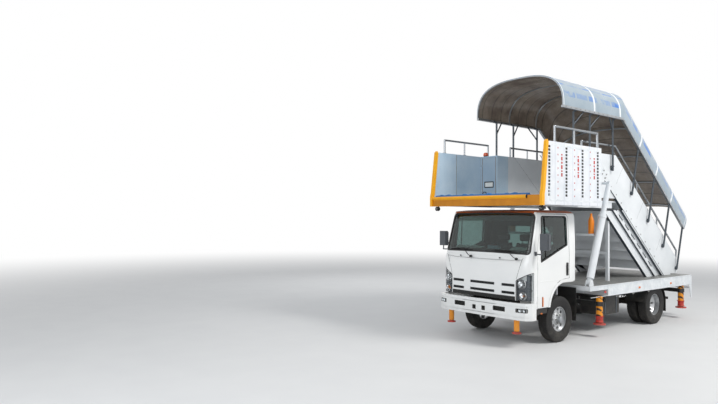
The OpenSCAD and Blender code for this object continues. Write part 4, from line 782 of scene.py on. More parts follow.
# %% [markdown]
# ## Windscreen, nose and lamps
# The windscreen is bonded glass: a rubber gasket covers its edge and a black ceramic border hides the
# glue. A green band shades the driver's eyes. Both surfaces of the cab's front bow back towards the
# sides, so each piece here is laid on the same formula as the solid: places across and up, with a depth.

# %% Surfaces of the cab's front
CAB_HALF = 984
SCREEN_RUN, SCREEN_RISE = 209, 722
LEAN = math.atan2(SCREEN_RUN, SCREEN_RISE)
SCREEN_UP = math.hypot(SCREEN_RUN, SCREEN_RISE)
FRONT, SCREEN_OUT = (0, -1, 0), (0, -math.cos(LEAN), math.sin(LEAN))


def on_nose(x, z, deep=0.0):
    """Places on the nose: y is -1020 in the middle and grows by 28 u^2 + 100 u^16 with u = |x| / 984."""
    x, z, deep = np.broadcast_arrays(floats(x), z, deep)
    u = np.clip(np.abs(x) / CAB_HALF, 0, 1)
    return np.stack([x, -1020 + 28 * u ** 2 + 100 * u ** 16 + deep, z], -1)


def on_screen(x, rise, deep=0.0):
    """Places on the windscreen: it leans back by 16 degrees and bows by 45 u^2 + 90 u^24, u = |x| / 1004."""
    x, rise, deep = np.broadcast_arrays(floats(x), rise, deep)
    u = np.clip(np.abs(x) / (CAB_HALF * 1.02), 0, 1)
    back = deep + math.cos(LEAN) * (45 * u ** 2 + 90 * u ** 24)
    return np.stack([x, -965 + back * math.cos(LEAN) + rise * math.sin(LEAN),
                     1590 - back * math.sin(LEAN) + rise * math.cos(LEAN)], -1)


def dense(outline, step=25.0, closed=True):
    """An outline with corners every step mm or less along it."""
    outline = floats(outline)
    if closed:
        outline = np.concatenate([outline, outline[:1]])
    gone = np.concatenate([[0], np.cumsum(np.linalg.norm(np.diff(outline, axis=0), axis=1))])
    s = np.linspace(0, gone[-1], int(gone[-1] / step) + 2)
    s = s[:-1] if closed else s
    return np.stack([np.interp(s, gone, side) for side in outline.T], 1)


def inset(outline, d):
    """A closed outline moved inward by d at every corner, along the mean of its edges' normals."""
    p = floats(outline)
    p = p[::-1] if area_sign(p) < 0 else p
    ahead = np.roll(p, -1, 0) - p
    ahead /= np.linalg.norm(ahead, axis=1)[:, None]
    normal = np.stack([-ahead[:, 1], ahead[:, 0]], 1)
    before = np.roll(normal, 1, 0)
    return p + d * (normal + before) / (1 + (normal * before).sum(1))[:, None]


def strip(surface, a0, a1, b0, b1, deep0, deep1, steps=24):
    """A bar on a surface from a0 to a1 across it, between heights b0 and b1 and two depths."""
    a = np.linspace(a0, a1, steps)
    depths = ((b0, deep0), (b1, deep0), (b1, deep1), (b0, deep1))
    rows = np.stack([surface(a, b, d) for b, d in depths], 1)
    return rows.reshape(-1, 3), outward(grid_faces(steps, 4, False, True) + end_faces(steps, 4), True)


def laid(surface, outline, section, deep, out, step=25.0):
    """A section carried round a closed outline on a surface; out is the way the surface looks."""
    return sweep(surface(*dense(outline, step).T, deep), section, True, out)


HALF = np.array([[895, 16], [932, 32], [942, 70], [922, SCREEN_UP - 76], [898, SCREEN_UP - 24],
                 [850, SCREEN_UP - 6]])
GLASS = np.concatenate([HALF, HALF[::-1] * [-1, 1]])
gasket = laid(on_screen, inset(GLASS, 5), rounded_rect(-17, -7, 17, 6, 5), 1, SCREEN_OUT)
piece("windscreen_gasket", gasket, "seal_rubber")
outer, inner = dense(inset(GLASS, 10), 20), dense(inset(GLASS, 64), 20)
inner = inner[np.linspace(0, len(inner) - 1, len(outer)).round().astype(int)]
rings = [on_screen(*edge.T, deep) for edge, deep in ((outer, 15), (inner, 15), (inner, 17), (outer, 17))]
piece("screen_border", (np.concatenate(rings), grid_faces(4, len(outer), True, True)), "black_abs")
shade_band = strip(on_screen, -830, 830, SCREEN_UP - 150, SCREEN_UP - 60, 15, 17, 40)
piece("screen_shade_band", shade_band, "shade_green")
print("corners of the gasket", len(gasket[0]), "and of the border", len(rings) * len(outer))

# %% [markdown]
# ### Wipers
# Two wipers park side by side against the lower seal. Each has a cap on its spindle, an arm of pressed
# steel that narrows, and a rubber blade in a carrier of bows. A washer jet stands beside each spindle.

# %% Wipers and washer jets
REACH = 520
wiper_parts = []
for pivot in (-248, 750):
    foot = on_nose(pivot, 1512, -14)
    tip = on_screen(pivot - REACH * 0.62, 46, -26)
    arm = bent([foot, foot + [-60, -12, 26], on_screen(pivot - 190, 22, -34), tip], 60)
    along = np.linspace(pivot - REACH * 1.12, pivot - 70, 22)
    rise = 40 + 14 * np.sin(np.linspace(0, np.pi, 22))
    bow_at = on_screen(along[3:-3:5], rise[3:-3:5], -16)
    wiper_parts += [sweep(arm, bar(9, 4, 3)), turned([(-26, 15), (-24, 22), (6, 24), (16, 20)], foot, 24, axis=1),
                    sweep(on_screen(along, rise, -10), bar(4, 8, 3)),
                    sweep(on_screen(along[3:-3], rise[3:-3], -24), bar(7, 4, 3)),
                    *[box(p - [9, 8, 8], p + [9, 8, 8]) for p in bow_at]]
piece("wipers", join(*wiper_parts), "black_abs")
jets = [turned([(-13, 7), (-11, 12), (6, 13), (10, 11)], on_nose(x, 1514, -6), 20, axis=1) for x in (-505, 400)]
piece("washer_jets", join(*jets), "black_abs")
print("wiper parts", len(wiper_parts), "jets", len(jets))

# %% [markdown]
# ### Grille and nose panel
# Behind each slot of the grille lies a black insert with louvres, deep enough to look dark. Below the
# slots a dark air inlet with slats runs above the bumper. The lid's edges are dark gaps 5 mm wide.

# %% Grille, inlet and panel gaps
SLOTS = [(x0, x1, z) for x0, x1 in ((-700, -430), (-276, 276), (430, 700)) for z in (898, 1030)]
insert = [strip(on_nose, x0 + 1, x1 - 1, z + low, z + high, near, far, 10)
          for low, high, near, far in ((1, 45, 10, 58), (13, 17, 4, 12), (28, 32, 4, 12)) for x0, x1, z in SLOTS]
piece("grille_inserts", join(*insert), "radiator_black", bevel=0.8)
inlet = [strip(on_nose, -712, 712, 801, 866, -3, 20, 40)]
inlet += [strip(on_nose, -704, 704, z, z + 7, -12, 0, 40) for z in (808, 825, 842, 857)]
piece("lower_inlet", join(*inlet), "black_abs", bevel=1)


def gap(*points):
    """A dark line on the nose through points across and up."""
    return sweep(on_nose(*dense(points, 25, False).T, 1.2), bar(2.5, 2, 1), start_up=FRONT)


side_gaps = [gap((s * 868, 1528), (s * 842, 1500), (s * 735, 1166)) for s in (1, -1)]
side_gaps += [gap((s * 725, 1140), (s * 725, 812)) for s in (1, -1)]
top_gap = gap((-842, 1500), (-640, 1484), (0, 1478), (640, 1484), (842, 1500))
piece("nose_gaps", join(top_gap, *side_gaps), "seal_rubber")
print("bars in the slots", len(insert), "and in the inlet", len(inlet))

# %% [markdown]
# ### Lamps
# The lens is one clear moulding that wraps round the corner. Inside lie a dark bowl with a bright
# reflector for the main beam, a second reflector with an amber bulb below it, and a bar between them.
# A reflector is a paraboloid, r^2 / (4 f) deep, as every lamp has that sends out a straight beam.

# %% Main lamps
def bowl(centre, radius, depth, wall=2.0, count=40):
    """A reflector open to the front (-y): depth mm deep, with a rim at radius."""
    r = np.linspace(8, radius, 12)
    y = -depth * (r / radius) ** 2
    profile = np.concatenate([np.stack([y, r], 1), np.stack([y + wall + 1, r + wall], 1)[::-1]])
    return turned(profile, floats(centre) + [0, depth, 0], count, True, axis=1)


def ring_bar(centre, radius, thick, count=40):
    """A round bar bent to a ring that faces the front."""
    path = floats(centre) + radius * np.insert(circle(count), 1, 0, axis=1)
    return sweep(path, thick * circle(10), True, FRONT)


LAMP_MAIN, LAMP_TURN = (835, 1085), (850, 882)
shell = [strip(on_nose, *bounds, 56, steps) for *bounds, steps in (
    (740, 955, 982, 1140, 50, 16), (740, 955, 806, 970, 50, 16), (738, 962, 970, 984, 8, 16),
    (738, 748, 806, 1140, 8, 3), (900, 958, 1140, 1240, 40, 8))]
piece("lamp_bodies", both(join(*shell)), "lamp_grey")
reflectors = join(bowl(on_nose(*LAMP_MAIN, 16), 66, 32), bowl(on_nose(*LAMP_TURN, 18), 62, 30),
                  bowl(on_nose(792, 1020, 22), 24, 20))
piece("lamp_reflectors", both(reflectors), "reflector_chrome")
rims = join(ring_bar(on_nose(*LAMP_MAIN, 17), 70, 4), ring_bar(on_nose(*LAMP_TURN, 19), 66, 4),
            ring_bar(on_nose(*LAMP_MAIN, 12), 82, 3))
piece("lamp_rims", both(rims), "wheel_silver")
bulb = [(0, 6), (4, 12), (16, 14), (26, 10), (32, 5)]
piece("lamp_bulbs", both(turned(bulb, on_nose(*LAMP_MAIN, 14), 24, axis=1)), "lamp_glass")
piece("turn_bulbs", both(turned(bulb, on_nose(*LAMP_TURN, 14), 24, axis=1)), "amber_lens")
seam = inset([[735, 800], [972, 800], [972, 1272], [850, 1210], [735, 1150]], 3)
piece("lamp_seals", both(laid(on_nose, seam, rounded_rect(-4, -3, 4, 2.5, 2), 0.5, FRONT, 22)), "seal_rubber")
print("strips in a lamp's shell", len(shell))

# %% [markdown]
# ### Bumper and fog lamps
# The bumper has openings for air, for a towing hook and for the fog lamps. Black plastic mesh stands
# 20 mm behind them, so that the shade in the openings comes from their depth.

# %% Bumper and fog lamps
def on_bumper(x, z, deep=0.0):
    """Places on the bumper's face, which runs level to x = 400 and then slants back."""
    x, z, deep = np.broadcast_arrays(floats(x), z, deep)
    back = np.interp(np.abs(x), [0, 400, 840, 960, 1030], [0, 0, 14, 55, 150])
    return np.stack([x, -1110 + back + deep, z], -1)


MOUTH, TOW_HOLE, FOG_HOLE = (320, 598, 575, 680), (65, 570, 145, 650), (790, 612, 985, 682)
x0, z0, x1, z1 = MOUTH
mesh = [strip(on_bumper, a0 - 6, a1 + 6, b0 - 6, b1 + 6, 34, 40, 4) for a0, b0, a1, b1 in (MOUTH, TOW_HOLE)]
mesh += [strip(on_bumper, x0, x1, z, z + 5, 20, 35, 4) for z in range(z0 + 12, z1 - 6, 16)]
mesh += [strip(on_bumper, x, x + 5, z0, z1, 22, 35, 2) for x in range(x0 + 28, x1 - 6, 36)]
piece("bumper_mesh", both(join(*mesh)), "black_abs", bevel=0.6)
lips = [laid(on_bumper, rounded_rect(a0 + 3, b0 + 3, a1 - 3, b1 - 3, 10), rounded_rect(-5, -5, 5, 6, 3), 6.5,
             FRONT, 18) for a0, b0, a1, b1 in (MOUTH, TOW_HOLE, FOG_HOLE)]
piece("bumper_lips", both(join(*lips)), "black_abs")
piece("fog_housings", both(strip(on_bumper, 786, 984, 608, 686, 34, 44, 12)), "black_abs")
fog_bowls = join(bowl(on_bumper(862, 647, 12), 30, 20), bowl(on_bumper(928, 647, 14), 24, 18))
piece("fog_reflectors", both(fog_bowls), "reflector_chrome")
piece("fog_lenses", both(strip(on_bumper, 796, 978, 618, 676, 5, 9, 12)), "lamp_glass", bevel=1)
ribs = [strip(on_bumper, -1000, 1000, z, z + 10, 0, 3, 60) for z in (706, 528)]
piece("bumper_rib", join(*ribs), "cab_enamel", bevel=1.5)
print("front pieces made")

# %% [markdown]
# ## Doors, mirrors and the inside of the cab
# Each door carries a rubber channel round its window, a black pull handle in a recess and an amber side
# lamp near its front edge. A black plastic sill closes the gap under the door ahead of the wheel.

# %% Pieces on the doors
def on_side(y, z, deep=0.0):
    """Places on the left side of the cab: x is 984 up to z = 1560 and then leans in by 37 per 710."""
    y, z, deep = np.broadcast_arrays(floats(y), z, deep)
    return np.stack([CAB_HALF - 37 * np.clip((z - 1560) / 710, 0, 1.1) - deep, y, z], -1)


DOOR, LEFT = "door_assembly_SIDE", (1, 0, 0)
WINDOW = [[-640, 1452], [178, 1738], [178, 2216], [145, 2252], [-568, 2252], [-590, 2236], [-636, 1700]]
seal = laid(on_side, inset(WINDOW, 4), rounded_rect(-12, -4, 12, 5, 3), 0, LEFT, 22)
pair("window_seal", seal, "seal_rubber", DOOR)
upright = np.linspace(on_side(-480, 1500, 6), on_side(-480, 2250, 6), 12)
pair("window_bar", sweep(upright, bar(9, 5, 3), start_up=LEFT), "seal_rubber", DOOR)
cup = side_tile(983, 128, 1186, 202, 1420, 16, 5)
lever = tube([(986, 146, 1225), (1003, 146, 1240), (1003, 146, 1370), (986, 146, 1388)], 9, 14)
lock = turned([(0, 15), (5, 15), (7, 11), (7, 2)], (988, 183, 1300), 24)
pair("door_handle", join(cup, lever, lock), "black_abs", DOOR, bevel=1)
pair("side_lamp", side_tile(CAB_HALF, -606, 690, -582, 852, 9, 13), "amber_plastic", DOOR, bevel=3)
pair("side_lamp_base", side_tile(983.5, -611, 684, -577, 858, 11, 4), "black_abs", DOOR, bevel=1)
crease = bent([(CAB_HALF + 2, y, 1120) for y in (-700, -300, 225)], 10)
pair("door_crease", sweep(crease, bar(7, 2, 1.5), start_up=LEFT), "cab_enamel", DOOR)
sill = plate([(-842, 655), (-432, 655), (-450, 566), (-826, 556)], 34, (938, 0, 0), (0, 1, 0))
pair("sill_cover", sill, "black_abs", bevel=4)
pair("sill_reflector", side_tile(972, -640, 560, -590, 582, 5, 5), "amber_plastic", bevel=1)
hinges = [turned([(0, 11), (2, 13), (56, 13), (58, 11)], (990, -742, z), 20, axis=2) for z in (820, 1330)]
pair("door_hinges", join(*hinges), "cab_enamel")
print("hinges on a door", len(hinges))

# %% [markdown]
# ### Mirrors
# The mirror heads are grey mouldings. The glass sits in the face that looks back, 3 mm inside a lip,
# and the wide angle mirror below it has a glass of its own.

# %% Mirror glasses
MIRROR_BACK = -740
for name, outline in (("mirror_glass", rounded_rect(1082, 1790, 1233, 1938, 22)),
                      ("wide_mirror", rounded_rect(1082, 1682, 1233, 1772, 18))):
    pair(name, plate(outline, 2.5, (0, MIRROR_BACK + 2.6, 0)), "mirror_glass")
    lip = laid(lambda x, z, y: np.stack([x, 0 * x + y, z], 1), outline, bar(4, 4, 2), MIRROR_BACK + 1, (0, 1, 0), 14)
    pair(name + "_lip", lip, "black_abs")
print("mirror glass looks back from y =", MIRROR_BACK)

# %% [markdown]
# ### Seats
# Foam seats with sewn covers. A cushion is a crowned form: a superellipsoid, where the cosines and
# sines of a sphere are raised to a power below one, so that it fills its box but keeps round edges. The
# side bolsters stand proud of the middle, and a round welt runs along each seam.

# %% Padded seats
def pillow(lo, hi, power, sag, rows=22, cols=44):
    """A crowned form in a box: each axis is half its width times a cosine or sine raised to power; the
    sides draw in by sag mm half way between the corners."""
    def soft(v):
        """v raised to power, with its sign kept."""
        return np.sign(v) * np.abs(v) ** power
    lo, hi = floats(lo), floats(hi)
    lat = np.linspace(-np.pi / 2 + 0.02, np.pi / 2 - 0.02, rows)[:, None]
    lon = np.arange(cols)[None, :] * 2 * np.pi / cols
    unit = np.stack([soft(np.cos(lat)) * soft(np.cos(lon)), soft(np.cos(lat)) * soft(np.sin(lon)),
                     soft(np.sin(lat)) + 0 * lon], -1)
    unit[..., :2] *= 1 - 2 * sag / (hi - lo)[:2] * (1 - np.abs(unit[..., 1::-1]) ** 2)
    faces = grid_faces(rows, cols, False, True) + end_faces(rows, cols)
    return ((lo + hi) / 2 + unit * (hi - lo) / 2).reshape(-1, 3), faces


def leaned(shape, foot_y=180, foot_z=1345, degrees=6.5):
    """A shape turned back about a level line across the cab."""
    c, s = math.cos(math.radians(degrees)), math.sin(math.radians(degrees))
    x, y, z = (shape[0] - [0, foot_y, foot_z]).T
    return np.stack([x, foot_y + y * c + z * s, foot_z + z * c - y * s], 1), shape[1]


bases = []
for name, (x0, x1) in {"driver": (-720, -240), "middle": (-180, 240), "mate": (260, 720)}.items():
    middle = (x0 + x1) / 2
    seat = {
        "cushion": pillow((x0 + 62, -240, 1210), (x1 - 62, 176, 1334), 0.36, 6),
        "bolster_a": pillow((x0 + 2, -256, 1200), (x0 + 84, 184, 1339), 0.5, 4),
        "bolster_b": pillow((x1 - 84, -256, 1200), (x1 - 2, 184, 1339), 0.5, 4),
        "back": leaned(pillow((x0 + 74, 150, 1345), (x1 - 74, 214, 1730), 0.4, 5)),
        "back_side_a": leaned(pillow((x0 + 26, 140, 1343), (x0 + 92, 222, 1738), 0.5, 3)),
        "back_side_b": leaned(pillow((x1 - 92, 140, 1343), (x1 - 26, 222, 1738), 0.5, 3)),
        "headrest": pillow((middle - 130, 214, 1765), (middle + 130, 296, 1906), 0.45, 3),
    }
    for part, form in seat.items():
        piece("seat_" + name + "_" + part, form, "seat_cloth", sharp=60)
    seam = [(x0 + 84, -236, 1322), (x0 + 84, 168, 1322), (x1 - 84, 168, 1322), (x1 - 84, -236, 1322)]
    piece("seat_" + name + "_welt", tube(bent(seam, 30), 3.5), "cab_trim")
    bases += [box((x0 + 20, -235, 1151), (x1 - 20, 200, 1212)), box((x0 + 60, 196, 1200), (x1 - 60, 228, 1340))]
    bases += [tube([(middle + d, 240, 1700), (middle + d, 252, 1790)], 6) for d in (-70, 70)]
    if name != "middle":
        bases += [box((middle - 150, -190, 1092), (middle + 150, 170, 1153))]
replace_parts(piece("seat_bases", join(*bases), "cab_trim", bevel=4), "seats")
print("parts under the seats", len(bases))

# %% [markdown]
# ### Dashboard
# What can be seen through the glass: a padded top, papers left lying on it, a radio with three knobs,
# and the hood over two round dials and a small one.

# %% Dashboard fittings
DASH_TOP = [(-895, 1560), (-895, 1628), (-868, 1640), (-800, 1666), (-730, 1662), (-704, 1640), (-700, 1560)]
UP_THE_PAD = (0, 0.934, 0.357)
piece("dash_pad", plate(DASH_TOP, 1640, (-820, 0, 0), (0, 1, 0)), "cab_trim", bevel=5)
sheets = [plate(rounded_rect(x, y, x + 297, y + 150, 2, 2), 1.2, (0, -890, 1634 + lift), upward=UP_THE_PAD)
          for x, y, lift in ((470, 4, 3), (520, 14, 6), (-790, 6, 3), (-460, 10, 3))]
piece("papers", join(*sheets), "paper_white")
piece("dash_radio", box((-20, -846, 1650), (230, -760, 1716)), "cabinet_paint", bevel=9)
knobs = [turned([(0, 11), (10, 11), (13, 8), (13, 1)], (x, -800, 1715), 20, axis=2) for x in (30, 75, 120)]
piece("radio_knobs", join(*knobs), "red_plastic")
hood = bent([(-620, -690, 1556), (-600, -700, 1640), (-340, -700, 1640), (-320, -690, 1556)], 60)
piece("instrument_hood", sweep(hood, bar(40, 5, 4)), "cab_trim")
dials = [turned([(-8, r), (4, r + 3), (6, r + 3), (6, 1)], (x, -706, 1592), 28, axis=1)
         for x, r in ((-530, 40), (-470, 22), (-410, 40))]
piece("instruments", join(*dials), "paper_white")
vents = [plate(rounded_rect(x, 1488, x + 120, 1528, 8), 6, (0, -668, 0)) for x in (-900, -160, 20, 780)]
piece("air_vents", join(*vents), "black_abs", bevel=1)
print("inside pieces made")

# %% [markdown]
# ## Wheels and tyres
# A tyre is laid up on a drum and cured in a mould that cuts its tread. The surface here is one array:
# the section of the tyre goes round the axle, and the radius drops by 9 mm where a groove runs. Four
# grooves run round the tyre, and short ones cut the shoulders into blocks, each side a little aside.

# %% Tyres as one surface each
TYRE_R = 410.0
PITCHES, STEPS = 60, 6
HALF_SECTION = np.array([
    [70, 228], [80, 222], [88, 234], [97, 268], [101, 292], [102.4, 320], [101, 350], [97, 372], [93, 388],
    [88, 400], [82, 405.5], [70, 408.2], [61, 409.2], [57, 409.4], [49, 409.6], [45, 409.7], [24, 410],
    [20, 410], [12, 410], [8, 410]])


def tyre(centre):
    """A closed tyre. Columns go round the axle; rows follow the section from bead to bead. The groove
    depth is 9 mm near four lines round the tread, 8 mm over a sixth of each pitch on the shoulders and
    5 mm over a sixth of each pitch between the grooves."""
    section = np.concatenate([HALF_SECTION, HALF_SECTION[::-1] * [-1, 1]])
    count = PITCHES * STEPS
    turn = np.arange(count)[None, :]
    x, r = section[:, :1], section[:, 1:]
    dist = np.abs(x)
    lines = ((dist > 48) & (dist < 58)) | ((dist > 10) & (dist < 22))
    shoulder = (dist > 58) & (r > 386) & ((turn + (x > 0) * STEPS // 2) % STEPS == 0)
    middle_cut = (dist > 22) & (dist < 48) & ((turn + STEPS // 3) % STEPS == 0)
    radius = r - np.minimum(9 * lines + 8 * shoulder + 5 * middle_cut, 9)
    round_it = circle(count)
    along = np.broadcast_to(x, radius.shape)
    corners = np.stack([along, radius * round_it[:, 0], radius * round_it[:, 1]], -1) + floats(centre)
    return corners.reshape(-1, 3), grid_faces(len(section), count, True, True)


def middle_of(node):
    """The middle of a solid's box, in mm from the front axle."""
    lo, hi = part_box(node)
    return ((np.array(lo) + np.array(hi)) / 2 - [0, AXLE_Y, 0]) * 1000


FRONT_BODY, REAR_BODY = "front_wheel_assembly_SIDE", "rear_wheel_assembly_SIDE"
TWIN = 119.0
front_x = middle_of("front_tyre_left")[0]
rear_x, REAR_Y, _ = middle_of("rear_tyres_left")
for side, sign in SIDES:
    single = tyre((front_x * sign, 0, TYRE_R))
    twins = join(*[tyre(((rear_x + d) * sign, REAR_Y, TYRE_R)) for d in (TWIN, -TWIN)])
    for name, form, body, node in (("front_tyre_rubber_", single, FRONT_BODY, "front_tyre_"),
                                   ("rear_tyre_rubber_", twins, REAR_BODY, "rear_tyres_")):
        rubber = piece(name + side, form, "tyre_rubber", body.replace("SIDE", side), sharp=24)
        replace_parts(rubber, node + side)
for name, centre, body in (("front_wall_ribs", (front_x, 0, TYRE_R), FRONT_BODY),
                           ("rear_wall_ribs", (rear_x + TWIN, REAR_Y, TYRE_R), REAR_BODY)):
    ribs = [turned([(100, r - 4), (104, r - 2), (104, r + 2), (100, r + 4)], centre, 96, True) for r in (302, 340)]
    pair(name, join(*ribs), "tyre_rubber", body)
print("a tyre has", len(single[0]), "corners and", len(single[1]), "faces")

# %% [markdown]
# ### Nuts, caps and valves
# Six nuts hold each wheel. A nut is a hexagon with a round washer face, a chamfer and the end of its
# stud. The front hub ends in a pressed grease cap, the rear one in a flange with eight bolts.

# %% Wheel nuts, caps and valves
def nut_ring(centre, radius, count, size, height):
    """Nuts on a circle, facing +x: washer, hexagon and stud each."""
    made = []
    for y, z in radius * circle(count):
        p = floats(centre) + [0, y, z]
        made += [turned([(0, size * 1.15), (4, size * 1.15), (6, size)], p, 20),
                 bolts([p + [5, 0, 0]], (1, 0, 0), size, height),
                 turned([(height, size * 0.62), (height + 12, size * 0.62), (height + 14, size * 0.45)], p, 14)]
    return join(*made)


pair("front_wheel_nuts", nut_ring((902, 0, TYRE_R), 84, 6, 16, 18), "zinc_bolt", FRONT_BODY, bevel=1)
pair("rear_wheel_nuts", nut_ring((866, REAR_Y, TYRE_R), 112, 6, 18, 22), "zinc_bolt", REAR_BODY, bevel=1)
cap = turned([(0, 60), (3, 62), (22, 58), (30, 46), (34, 24), (35, 2)], (943, 0, TYRE_R), 40)
pair("front_hub_cap", cap, "hoop_aluminium", FRONT_BODY)
pair("rear_hub_bolts", nut_ring((928, REAR_Y, TYRE_R), 56, 8, 8, 8), "zinc_bolt", REAR_BODY)
dish = turned([(0, 36), (6, 38), (12, 30), (13, 2)], (928, REAR_Y, TYRE_R), 36)
pair("rear_hub_dish", dish, "axle_iron", REAR_BODY)
for name, y, stem, finish_name, body in (
        ("front_valve", 0, ((884, 196), (900, 190), (922, 168)), "seal_rubber", FRONT_BODY),
        ("rear_valve", REAR_Y, ((868, 140), (900, 165), (960, 180)), "zinc_bolt", REAR_BODY)):
    pair(name, tube([(x, y, TYRE_R + z) for x, z in stem], 4.5, 8), finish_name, body)
print("wheels made")

# %% [markdown]
# ## Underframe, tank and deck
# The frame rails carry rows of bolt heads where brackets are fixed, and pipes and a loom in clips. Steel
# straps hold the tank, and the battery box has a ribbed side with two latches.

# %% Rails, pipes, tank and battery box
rail_bolts = [(425, y, z) for y in range(-300, 4600, 175) for z in (598, 702) if abs(y - 1825) > 420 or z > 650]
pair("rail_bolts", bolts(rail_bolts, (1, 0, 0), 11, 8), "axle_iron")
runs = [tube([(432, 560, z), (432, 1380, z), (432, 3000, z - 6), (432, 4550, z)], r, 30, 10)
        for z, r in ((640, 5), (655, 5), (624, 9))]
pair("pipes", join(*runs), "seal_rubber")
clips = [box((425, y - 12, 612), (444, y + 12, 664)) for y in range(700, 4500, 380)]
pair("pipe_clips", join(*clips), "zinc_bolt", bevel=2)
round_tank = bent([(438, 328), (907, 328), (907, 692), (438, 692), (438, 328)], 26)
straps = [sweep(np.insert(round_tank, 1, y, axis=1), [(-22, -2), (22, -2), (22, 3), (-22, 3)], start_up=(0, 0, -1))
          for y in (1610, 2040)]
piece("tank_straps", join(*straps), "support_steel")
cap = turned([(0, 40), (8, 46), (30, 46), (38, 40), (39, 2)], (904, 1560, 630), 36)
piece("tank_cap", join(cap, box((940, 1552, 598), (950, 1568, 662))), "black_abs", bevel=2)
drain = tube([(850, 1504, 560), (850, 1420, 560), (930, 1360, 560)], 15, 40, 14)
plug = turned([(0, 26), (6, 32), (30, 32), (36, 26), (37, 1)], (925, 1362, 560), 32)
piece("drain_cap", join(drain, plug), "red_plastic")
ribs = [box((-907, y - 14, 360), (-897, y + 14, 660)) for y in range(1520, 2240, 96)]
latches = [box((-918, y - 30, 585), (-900, y + 30, 625)) for y in (1600, 2100)]
piece("battery_box_ribs", join(*ribs, *latches), "black_abs", bevel=3)
bands = [turned([(y - 14, 97), (y - 14, 102), (y + 14, 102), (y + 14, 97)], (640, 0, 480), 48, True, axis=1)
         for y in (4070, 4360)]
tail_pipe = tube([(640, 4420, 480), (640, 4520, 470), (690, 4600, 430), (760, 4640, 420)], 28, 60, 20)
piece("silencer_bands", join(*bands, tail_pipe), "axle_iron")


def staple(middle, reach, lift, radius, bend, count):
    """A bar bent to a U: from middle it reaches out to both sides, and its legs go down by lift."""
    reach, lift = floats(reach), np.array([0, 0, lift])
    return tube([middle + reach - lift, middle + reach, middle - reach, middle - reach - lift], radius, bend, count)


clamps = [staple((395, y, 540), (44, 0, 0), 140, 8, 30, 10) for y in (-44, 44, REAR_Y - 52, REAR_Y + 52)]
pair("spring_bolts", join(*clamps), "axle_iron")
flap_y = (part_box("mudguards")[1].y - AXLE_Y) * 1000
flap = [box((x - 6, flap_y - 4, 330), (x + 6, flap_y + 4, 620)) for x in range(690, 1060, 45)]
pair("flap_ribs", join(*flap), "seal_rubber", bevel=1.5)
print("underframe made")

# %% [markdown]
# ### Deck edge, tail and jacks
# The deck's edge is a rolled channel with flanges, lashing eyes below and a red reflector by the middle
# jack. The tail carries lamps and a bare number plate. Red collars slide on the middle and rear jacks.

# %% Deck edge, tail lamps and jacks
DECK_HALF, DECK_REAR = 1135, 4970
lips = [box((DECK_HALF - 2, 690, z), (DECK_HALF + 7, 4960, z + 9)) for z in (752, 948)]
pair("deck_lips", join(*lips), "structure_enamel", bevel=2)
welds = [box((DECK_HALF - 2, y - 5, 762), (DECK_HALF + 4, y + 5, 946)) for y in range(1310, 4200, 720)]
pair("deck_welds", join(*welds), "structure_enamel", bevel=1.5)
red, *amber = (side_tile(DECK_HALF, y, 812, y + 70, 852, 6, 8) for y in (1165, 2500, 3900))
pair("side_reflectors", red, "red_plastic", bevel=2)
pair("edge_reflectors", join(*amber), "amber_plastic", bevel=2)
for x0, x1, kind in ((790, 880, "red_plastic"), (884, 950, "amber_plastic"), (954, 1010, "lamp_glass")):
    pair("tail_" + kind, rear_tile(DECK_REAR + 4, x0, 800, x1, 880, 8, 12), kind, bevel=3)
pair("tail_base", rear_tile(DECK_REAR - 2, 782, 792, 1018, 888, 10, 8), "black_abs", bevel=2)
piece("number_plate", rear_tile(DECK_REAR + 1, -220, 790, 220, 900, 8, 3), "hoop_aluminium", bevel=1)
eyes = [staple((1100, y, 712), (0, -26, 0), -36, 7, 22, 10) for y in (1700, 2350, 3000, 4350)]
pair("lashing_eyes", join(*eyes), "zinc_bolt")
for name, (x, y, r) in {"front": (745, -1000, 48), "middle": (1120, 1020, 60), "rear": (1060, 4600, 60)}.items():
    gland = turned([(262, 27), (262, r - 8), (274, r - 8), (274, 27)], (x, y, 0), 40, True, axis=2)
    pair(name + "_jack_gland", gland, "axle_iron")
    if name != "front":
        collar = [(284, r + 1), (284, r + 14), (292, r + 14), (300, r + 4), (384, r + 4), (388, r + 19),
                  (397, r + 19), (400, r + 1)]
        pair(name + "_jack_collar", turned(collar, (x, y, 0), 40, True, axis=2), "pad_red")
lifts = [staple((x + 45, 1560, 984), (-45, 0, 0), 14, 5, 10, 8) for x in (-300, 210)]
piece("deck_hatch", join(box((-430, 1500, 966), (430, 2300, 972)), *lifts), "deck_tread", bevel=1.5)
print("deck and jacks made")

# %% [markdown]
# ## Platform
# The platform's side walls still carry the film that they were delivered in, printed with broken lines.
# Its front edge is a padded roll that touches the aircraft. The cupboard door has a bare frame for a
# card and a black handle. Round work lamps hang under the corners, and a beacon stands on the cupboard.

# %% Film and roll of the platform
STAGE = "upper_stage"
FLOOR_Z, WALL_TOP = 2580, 3515
WALL_X = 1285


def mark(y, z, half, high, proud=0.7):
    """A printed bar on the film of the left wall."""
    return box((WALL_X - 1, y - half, z), (WALL_X + proud, y + half, z + high))


